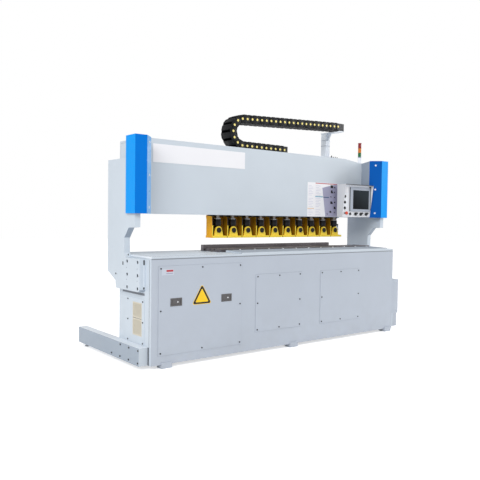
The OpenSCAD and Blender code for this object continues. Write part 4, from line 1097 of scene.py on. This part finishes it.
class MILL_OT_drag_chain(bpy.types.Operator):
    """Builds the closed drag chain and its cream pins on its three stretches"""

    bl_idname = "mill.drag_chain"
    bl_label = "Drag chain"

    def execute(self, context):
        radius = context.scene.mill_sizes.pin_radius
        lower, bend, upper = run_pins()
        templates = [shape(name, build_link(inset), "chain", 0.001)
                     for name, inset in (("outer_link", 0.0), ("inner_link", 5.5))]

        def pin(bm):
            for y, turn in ((CHAIN_Y[0] - 0.2, FACING_FRONT), (CHAIN_Y[1] + 0.2, FACING_REAR)):
                drum(bm, Vector((0, y * MM, 0)), radius, 0.0028, turn, 20, radius * 0.8)
        head = shape("pin_head", pin, "chain pin")
        for name, pins, first_odd, node in (
                ("chain_lower", lower, 1, "chain_lower_run"),
                ("chain_bend", bend, 0, "chain_loop"),
                ("chain_upper", upper, 0, "chain_upper_run")):
            bent = pins is bend
            links = self.links(name, pins, first_odd, templates)
            pieces = [links] if bent else [links, self.end_bracket(name, pins[-1])]
            pieces.append(placed_pieces(name + "_pins", head, "chain pin", [
                (at(*place), Euler()) for place in (pins[1:-1] if bent else pins)]))
            for piece in pieces:
                self.attach(piece, node, bend)
            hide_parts(node)
        discard(*templates, head)
        return {"FINISHED"}

    def links(self, name, pins, first_odd, templates):
        """Outer and inner links by turns between the pins, as one piece."""
        parts = []
        for odd, template in enumerate(templates):
            places = []
            for k, (p, q) in enumerate(zip(pins, pins[1:])):
                if (k + first_odd) % 2 == odd:
                    slope = math.atan2(q.z - p.z, q.x - p.x)
                    places.append((at(*p), Euler((0, -slope, 0))))
            parts.append(placed_pieces(f"{name}_links_{odd}", template, "chain", places))
        return join(f"{name}_links", parts)

    def end_bracket(self, name, last):
        """The cheeks and foot that hold the run's last pin."""
        upper = name == "chain_upper"
        foot = ARM_TOP if upper else TRAY_TOP
        end = UPPER_END_X if upper else last.x + LOWER_END
        near, far = CHAIN_Y
        start, top = last.x + 14, last.z + 42

        def build(bm):
            for y in (near, far - CHEEK):
                block(bm, at(last.x - 18, y, foot + 6.5), at(start, y + CHEEK, top))
                block(bm, at(start, y, foot), at(end, y + CHEEK, top))
            block(bm, at(start, near + CHEEK, foot), at(end, far - CHEEK, foot + 6))
            block(bm, at(end - 8, near + CHEEK, foot + 20), at(end - 2, far - CHEEK, foot + 30))
        return shape(name + "_end", build, "black plastic", 0.001)

    def attach(self, piece, node, bend):
        """The bend follows its body; for the runs the start and end are worked out but not used,
        and only their place is baked in.
        """
        middle = at(bend[0].x, 0, 0)
        if node == "chain_loop":
            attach(piece, node_body(node))
            return
        if node == "chain_upper_run":
            end = at(UPPER_END_X, 0, 0)
            start = middle - (end - middle)
        else:
            start = at(bend[0].x + LOWER_LINKS * LINK_PITCH, 0, 0)
            end = middle + (middle - start)
        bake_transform(piece)


def join(name, pieces):
    """Joins meshes into one object."""
    bm = bmesh.new()
    for piece in pieces:
        bm.from_mesh(piece.data)
    mesh = bpy.data.meshes.new(name)
    bm.to_mesh(mesh)
    bm.free()
    for material in pieces[0].data.materials:
        mesh.materials.append(material)
    discard(*pieces)
    piece = link(name, mesh)
    smooth(piece)
    return piece


# Console


CONSOLE_X = 2752.0
CONSOLE_TOP = 1790.0
CONSOLE_FACE = 258.0
BEZEL_X = 2884.0
BUTTON_PLACES = ((2799, 1653), (2799, 1582), (2799, 1513), (2897, 1442))
SELECTOR_PLACES = ((2994, 1442), (3091, 1442), (3190, 1442))
RING_RADII = (0.0150, 0.0178)
RING_HEIGHT = 0.003


def housing_face(place, normal):
    """The hood's front and top are black, and the sides and the rear take a darker copy of the
    white as painted shade.
    """
    if place.z > CONSOLE_TOP + 0.5 and (normal.z > 0.95 or normal.y < -0.5):
        return "black plastic"
    aside = place.x < CONSOLE_X + 1 or place.y > CONSOLE_FACE + 60
    return "console side" if aside else "console"


def screen_face(place, normal):
    if normal.x < -0.9 and place.x < BEZEL_X:
        return "black plastic"
    on_glass = (normal.y < -0.9 and GLASS_X[0] < place.x < GLASS_X[1]
                and GLASS_Z[0] < place.z < GLASS_Z[1])
    return "screen" if on_glass and place.y > CONSOLE_FACE - 11.5 else "bezel"


def stop_button_face(place, _):
    return "black plastic" if place.y > CONSOLE_FACE - 19.8 else "red"


def wider_cap(x, z):
    """Widens the push button at x and z."""
    def reshape(place):
        if place.y > CONSOLE_FACE - 0.4:
            return place
        return Vector((x + (place.x - x) * 1.3, place.y, z + (place.z - z) * 1.3))
    return reshape


def turned_grip(x, z):
    """Turns the selector's grip by a quarter and makes it a little longer."""
    def reshape(place):
        if place.y > CONSOLE_FACE - 0.4:
            return place
        return Vector((x + (z - place.z) * 1.6, place.y, z + (place.x - x) * 1.25))
    return reshape


def ring(bm):
    """A collar round a button or selector."""
    for radius in RING_RADII:
        bmesh.ops.create_circle(bm, radius=radius, segments=32)
    bmesh.ops.bridge_loops(bm, edges=bm.edges)
    made = bmesh.ops.extrude_face_region(bm, geom=bm.faces[:])
    bmesh.ops.translate(bm, vec=(0, 0, RING_HEIGHT), verts=[
        item for item in made["geom"] if isinstance(item, bmesh.types.BMVert)])


class MILL_OT_console(bpy.types.Operator):
    """Finishes the console with its screen, buttons and rings"""

    bl_idname = "mill.console"
    bl_label = "Console"

    def execute(self, context):
        dressed("console_housing", "console", housing_face, 0.0015)
        dressed("console_screen", "bezel", screen_face)
        for node, places, reshape in (("button", BUTTON_PLACES, wider_cap),
                                      ("selector", SELECTOR_PLACES, turned_grip)):
            for number, place in enumerate(places, start=1):
                dressed(f"{node}_{number}", "black plastic", edge=0.0015,
                        reshape=reshape(*place))
        dressed("estop", "red", stop_button_face, 0.003)
        repeated("console_rings", ring, "black plastic", [
            (at(x, CONSOLE_FACE, z), FACING_FRONT)
            for x, z in BUTTON_PLACES + SELECTOR_PLACES])
        boxes("console_port_cover", [
            (2814, 2845, CONSOLE_FACE - 3, CONSOLE_FACE, 1701, 1767),
            (2820, 2839, CONSOLE_FACE - 5, CONSOLE_FACE - 3, 1722, 1748)],
            "label", edge=0.001)
        # a black strip in the gap between the bezel and the right cheek: painted shadow
        boxes("console_edging", [(3250.5, 3258, 242, CONSOLE_FACE, 1490, 1786)],
              "black plastic", edge=0.0005)
        return {"FINISHED"}


# Signs


BEAM_FRONT_Y = 405
DOOR_FRONT_Y = -4
CHART_X = (2311.0, 2850.0)
CHART_Z = (1404.0, 1808.0)
CHART_FRONT_Y = BEAM_FRONT_Y - 2
PRINT_DEPTH = 0.4


def rounded_triangle(width, height, radius, steps=6):
    """Outline of an upright triangle with round corners, its base on the X axis."""
    corners = [Vector((-width / 2, 0)), Vector((width / 2, 0)), Vector((0, height))]
    points = []
    for i, corner in enumerate(corners):
        before = (corners[i - 1] - corner).normalized()
        after = (corners[(i + 1) % 3] - corner).normalized()
        half = before.angle(after) / 2
        centre = corner + (before + after).normalized() * radius / math.sin(half)
        first = corner + before * radius / math.tan(half) - centre
        last = corner + after * radius / math.tan(half) - centre
        turn = first.angle_signed(last)
        for k in range(steps + 1):
            angle = -turn * k / steps
            points.append(centre + Vector((
                first.x * math.cos(angle) - first.y * math.sin(angle),
                first.x * math.sin(angle) + first.y * math.cos(angle))))
    return [(p.x, p.y) for p in points]


def plate(name, x0, x1, z0, z1, y, depth, finish_name, slot="console_white"):
    """A thin plate on the face at y."""
    boxes(name, [(x0, x1, y - depth, y, z0, z1)], finish_name, edge=depth * 0.3 * MM)


class MILL_OT_signs(bpy.types.Operator):
    """Makes the bare triangle, the bare label plates and the generic wall chart"""

    bl_idname = "mill.signs"
    bl_label = "Signs"

    def execute(self, context):
        self.triangle()
        plate("beam_label", 238, 1365, 1898, 2075, BEAM_FRONT_Y, 2, "label")
        plate("door_label", 104, 232, 846, 902, DOOR_FRONT_Y, 1, "door label")
        plate("door_label_band", 152, 224, 876, 893, DOOR_FRONT_Y - 1, PRINT_DEPTH,
              "sign red", "stop_red")
        plate("door_label_line", 150, 220, 857, 864, DOOR_FRONT_Y - 1, PRINT_DEPTH,
              "chart violet", "cover_blue")
        self.chart()
        return {"FINISHED"}

    def triangle(self):
        """A bare triangular plate with a dark rim: three layers, each on the last."""
        for name, sizes, rise, depth, finish_name in (
                ("triangle_edge", (0.226, 0.192, 0.015), 0.0, 0.0006, "yellow"),
                ("triangle_rim", (0.212, 0.180, 0.013), 4.5, 0.0010, "sign black"),
                ("triangle_field", (0.152, 0.129, 0.007), 20.5, 0.0014, "yellow")):
            outline, place = rounded_triangle(*sizes), at(543, DOOR_FRONT_Y, 554 + rise)
            fitting(name, lambda bm: prism(bm, outline, place, FACING_FRONT, depth),
                    finish_name)

    def chart(self):
        """A generic chart: a rule at the top, columns of bars like text, and figures."""
        (x0, x1), (z0, z1), y = CHART_X, CHART_Z, CHART_FRONT_Y
        plate("chart_sheet", x0, x1, z0, z1, BEAM_FRONT_Y, 2, "label")
        for name, bounds, finish_name, slot in (
                ("chart_head", (2441, x1 - 6, z1 - 12, z1 - 3), "sign red", "stop_red"),
                ("chart_rule", (x0 + 2, 2422, 1495, 1503), "chart orange", "foot_yellow"),
                ("chart_bar_left", (2439, 2570, 1636, 1646), "chart blue", "cover_blue")):
            plate(name, *bounds, y, PRINT_DEPTH, finish_name, slot)

        def shade(bm):
            side = [(2557, 1749), (2616, z0 + 1), (x1 - 1, z0 + 1), (x1 - 1, 1800), (2790, 1800)]
            prism(bm, [((x - x0) * MM, (z - z0) * MM) for x, z in side], at(x0, y, z0),
                  FACING_FRONT, PRINT_DEPTH * MM)
        fitting("chart_shade", shade, "chart violet")
        y -= PRINT_DEPTH
        plate("chart_bar_right", 2576, 2676, 1632, 1642, y, PRINT_DEPTH, "chart navy",
              "cover_blue")
        self.chart_lines(y)
        self.chart_figures(y)

    def chart_lines(self, y):
        """Bars like lines of text in two columns, with room left for the rules."""
        lines = []
        for column, (start, width) in enumerate(((CHART_X[0] + 16, 84), (2446, 92))):
            for k in range(19):
                z = CHART_Z[1] - 40 - 19 * k
                if abs(z - 1499) < 12 or abs(z - 1640) < 12:
                    continue
                length = width * (0.62 + 0.38 * math.sin(2.1 * k + column) ** 2)
                lines.append((start, start + length, y, y + PRINT_DEPTH, z, z + 4))
        boxes("chart_lines", lines, "chart grey")

    def chart_figures(self, y):
        """Bevelled plate edges in two columns, some of them large."""
        places = ((2700, 1752, 1.0), (2706, 1690, 1.0), (2700, 1560, 0.9), (2762, 1500, 0.8),
                  (2688, 1452, 0.7), (2640, 1430, 0.5), (2762, 1752, 0.5), (2760, 1694, 0.5),
                  (2700, 1640, 0.4), (2766, 1634, 0.4), (2764, 1572, 0.5), (2766, 1450, 0.5))

        def figures(bm):
            for k, (left, base, size) in enumerate(places):
                slope = 8 + 5 * (k % 3)
                outline = [(0, 0), (34, 0), (34 - slope * (k % 2), 14), (34 - slope, 26), (0, 26)]
                prism(bm, [(x * size * 1.35 * MM, z * size * 1.35 * MM) for x, z in outline],
                      at(left, y, base), FACING_FRONT, PRINT_DEPTH * MM)
        fitting("chart_figures", figures, "sign black")


# Fittings


COLUMN_OUTSIDE = 60
FOOT_BEAM_OUTSIDE = 90
TABLE_SEAM_SHADE_Z = (988, 994)
FILTER_Y = (165, 331)
FILTER_INSETS = ((278, 429), (441, 580))
FILTER_RIM = 8
SLAT_COUNT = 11
RAIL_Z = (1520, 2000)
RAIL_SCREW_START, RAIL_SCREW_STEP, RAIL_SCREW_COUNT = 100, 120, 28
FOOT_BEAM_BOLTS = ((68, 175), (242, 175), (412, 175), (73, 63), (247, 64), (416, 65),
                   (592, 65))
PANELS = ((73, 1022, 118, 928), (1205, 1842, 216, 802), (2136, 2790, 212, 800))
SEAM_SHADE_WIDTH = 3.0
DOWELS_Y, DOWELS_Z = (150, 355), (899, 789)
ROUND_SHADE_SPOTS = ((573, 826), (322, 1020))
CABLE_PLUG_TOPS = ((3098, 2188), (3136, 2176), (3170, 2177), (3204, 2175))
BALL_UNITS = 11
BALL_UNIT_STEP = 0.2


def border(x0, x1, z0, z1, width):
    """Four strips round the outside of a rectangle: x0, x1, z0, z1 of each."""
    return ((x0 - width, x1 + width, z0 - width, z0), (x0 - width, x1 + width, z1, z1 + width),
            (x0 - width, x0, z0, z1), (x1, x1 + width, z0, z1))


def mirrored(corners):
    """Boxes at the cabinet's left end and their twins at the right end."""
    both = []
    for x0, x1, *rest in corners:
        both += [(x0, x1, *rest), (MACHINE_LENGTH - x1, MACHINE_LENGTH - x0, *rest)]
    return both


class MILL_OT_fittings(bpy.types.Operator):
    """Adds bolts, dowels, ball units and other small fittings"""

    bl_idname = "mill.fittings"
    bl_label = "Fittings"

    def execute(self, context):
        self.foot_beam_bolts()
        self.gaskets()
        self.end_gaps()
        # a black strip under the beam between the feet: painted shadow
        boxes("foot_wiper", [(1000, 3004, 562, 573.5, 1385, 1401)], "black plastic",
              edge=0.001)
        # two bands of the pale shade grey round the chain post, for the dark lines across it
        boxes("post_rings", [(3015, 3094, 798, 887, z, z + 5) for z in (2326, 2396)],
              "gasket", "carriage")
        self.carriage_plugs()
        self.filters()
        self.dowels_and_slot_shades()
        self.ledge_balls()
        repeated("rail_screws", lambda bm: drum(bm, Vector(), 0.007, 0.0012, sides=20),
                 "blackened",
                 [(at(RAIL_SCREW_START + RAIL_SCREW_STEP * k, 650, z), FACING_REAR)
                  for z in RAIL_Z for k in range(RAIL_SCREW_COUNT)])
        return {"FINISHED"}

    def foot_beam_bolts(self):
        """Socket head bolts that hold the foot beams to the cabinet."""
        places = [(at(-FOOT_BEAM_OUTSIDE, y, z), FACING_LEFT) for y, z in FOOT_BEAM_BOLTS]
        places.append((at(MACHINE_LENGTH + FOOT_BEAM_OUTSIDE, 610, 58), FACING_RIGHT))
        repeated("foot_beam_bolts", lambda bm: drum(bm, Vector(), 0.0085, 0.005, sides=24),
                 "sign black", places, 0.0008)

    def gaskets(self):
        """Darker grey strips round the panels, under the table plate and in the end grooves:
        painted shade along the seams.
        """
        boxes("gaskets", [(x0, x1, -1, 0.5, z0, z1) for panel in PANELS
                          for x0, x1, z0, z1 in border(*panel, SEAM_SHADE_WIDTH)],
              "gasket")
        boxes("table_joint", [(0, MACHINE_LENGTH, -0.8, 0.5, *TABLE_SEAM_SHADE_Z)] + [
            (x - 0.8, x + 0.8, 32, 36, 34, 983) for x in (0, MACHINE_LENGTH)],
            "joint")

    def end_gaps(self):
        """Painted shadow in the gaps and seams at the cabinet's ends with a pale strip of painted
        highlight in one, and the plates that close the beam in the lighter grey as painted light.
        """
        for name, finish_name, slot, corners in (
                ("plate_gap_faint", "rim", "panel_grey", [(-20, -12, 106.5, 107.5, 735, 935)]),
                ("plate_gap_dark", "dark inside", "black_parts", [
                    (-22, -8, 106.3, 107.5, 935, 980), (-22, -8, 106.3, 107.5, 716, 735)]),
                ("plate_gap_low", "joint", "panel_grey", [(-0.8, 0.5, 118, 545, 655, 677)]),
                ("post_gap", "gap dark", "black_parts", [(-1, 0.5, 37, 55, 36, 198)]),
                ("beam_ends", "column", "panel_grey", [(1, 13, 426, 601, 1422, 2069)])):
            boxes(name, mirrored(corners), finish_name)

    def carriage_plugs(self):
        """Cable plugs on the carriage that stand above the beam."""
        def build(bm):
            block(bm, at(3090, 700, 2044), at(3214, 780, 2056))
            for x, top in CABLE_PLUG_TOPS:
                block(bm, at(x - 9, 762, 2050), at(x + 9, 780, top))
                drum(bm, at(x, 771, top), 0.008, 0.016, sides=16, tip=0.005)
        fitting("carriage_plugs", build, "black plastic", "carriage")

    def filters(self):
        """Louvred filter insets: two flanged frames that meet, and their slats."""
        (y0, y1), rim = FILTER_Y, FILTER_RIM

        def frames(bm):
            for z0, z1 in FILTER_INSETS:
                for strip in border(y0 + rim, y1 - rim, z0 + rim, z1 - rim, rim):
                    block(bm, at(-4, strip[0], strip[2]), at(8, strip[1], strip[3]))
            flange = [(y0 - 3, y1 + 3, *ends)
                      for ends in ((275, 286), (429, 433.2), (436.8, 441), (572, 583))]
            flange += [(*sides, *ends) for sides in ((y0 - 3, y0 + 6), (y1 - 6, y1 + 3))
                       for ends in ((286, 429), (441, 572))]
            for a0, a1, b0, b1 in flange:
                block(bm, at(-5.2, a0, b0), at(-4, a1, b1))
        fitting("filter_frames", frames, "filter", edge=0.0004,
                replaces=["filter_grilles"])
        self.slats(y0 + rim, y1 - rim)
        # a dark strip where the two frames meet: painted shade
        boxes("filter_mullion", [(-4.6, -1, y0 + 3, y1 - 3, 433, 437)], "latch inside")

    def slats(self, near, far):
        def slat(bm):
            half, lean, thick, length = 5.0, 3.4, 1.6, (far - near) * MM
            outline = [(-lean, -half), (-lean + thick, -half), (lean + thick, half),
                       (lean, half)]
            prism(bm, [(x * MM, z * MM) for x, z in outline], (0, length, 0), FACING_FRONT,
                  length)
        template = shape("slat", slat, "filter")
        for name, (z0, z1) in zip(("filter_slats_low", "filter_slats_high"), FILTER_INSETS):
            step = (z1 - z0 - 2 * FILTER_RIM) / SLAT_COUNT
            keep(row_of_pieces(name, template, "filter", SLAT_COUNT,
                               at(-0.5, near, z0 + FILTER_RIM + step / 2),
                               Vector((0, 0, step * MM))))
        discard(template)

    def dowels_and_slot_shades(self):
        """Dowels of the columns in a grey of painted shade, and dark discs and an oval in the
        lifting slots beside them: painted shade.
        """
        outside = ((-COLUMN_OUTSIDE, FACING_LEFT),
                   (MACHINE_LENGTH + COLUMN_OUTSIDE, FACING_RIGHT))
        repeated("column_dowels", lambda bm: drum(bm, Vector(), 0.006, 0.001, sides=24),
                 "gasket", [
                     (at(x, y, z), turn) for z in DOWELS_Z for y in DOWELS_Y
                     for x, turn in outside])

        # dark discs and an oval: painted shade in the slots and holes
        def plugs(bm):
            outline = [(8 * MM * math.cos(a), (8 * math.sin(a) + side * 10) * MM)
                       for side, angles in ((1, range(0, 181, 20)), (-1, range(180, 361, 20)))
                       for a in map(math.radians, angles)]
            for x, turn in outside:
                for y, z in ROUND_SHADE_SPOTS:
                    drum(bm, at(x, y, z), 0.009, 0.0015, turn, sides=24)
                prism(bm, outline, at(x, 428, 934), turn, 0.0015)
        fitting("slot_plugs", plugs, "dark inside")

    def ledge_balls(self):
        """Ball units along the ledge, which carry the plate to the bed."""
        def ball_unit(bm):
            drum(bm, Vector(), 0.018, 0.002)
            drum(bm, Vector((0, 0, 0.002)), 0.014, 0.002, tip=0.011)
            bmesh.ops.create_uvsphere(bm, u_segments=20, v_segments=12, radius=0.009,
                                      matrix=Matrix.Translation((0, 0, 0.003)))
        template = shape("ball_unit", ball_unit, "bright")
        keep(row_of_pieces("ledge_ball_units", template, "bright", BALL_UNITS,
                           at(1180, 236, 1039), Vector((BALL_UNIT_STEP, 0, 0))))
        discard(template)


# Add-on


OPERATORS = (MILL_OT_stage, MILL_OT_frame, MILL_OT_press_feet, MILL_OT_drag_chain,
             MILL_OT_console, MILL_OT_signs, MILL_OT_fittings)


class MILL_PT_pieces(bpy.types.Panel):
    """Lists the machine's pieces in the sidebar"""

    bl_idname = "MILL_PT_pieces"
    bl_label = "Plate edge milling machine"
    bl_space_type = "VIEW_3D"
    bl_region_type = "UI"
    bl_category = "Edge Mill"

    def draw(self, context):
        for operator in OPERATORS:
            self.layout.operator(operator.bl_idname)
        for group in (context.scene.mill_paints, context.scene.mill_sizes,
                      context.scene.mill_stage):
            box = self.layout.box()
            for name in group.__annotations__:
                box.prop(group, name)


CLASSES = (MillPaints, MillSizes, MillStage, *OPERATORS, MILL_PT_pieces)


def register():
    for cls in CLASSES:
        bpy.utils.register_class(cls)
    bpy.types.Scene.mill_paints = PointerProperty(type=MillPaints)
    bpy.types.Scene.mill_sizes = PointerProperty(type=MillSizes)
    bpy.types.Scene.mill_stage = PointerProperty(type=MillStage)


def unregister():
    del bpy.types.Scene.mill_stage
    del bpy.types.Scene.mill_sizes
    del bpy.types.Scene.mill_paints
    for cls in reversed(CLASSES):
        bpy.utils.unregister_class(cls)


def main():
    register()
    for operator in OPERATORS:
        group, name = operator.bl_idname.split(".")
        getattr(getattr(bpy.ops, group), name)()


if __name__ == "__main__":
    main()
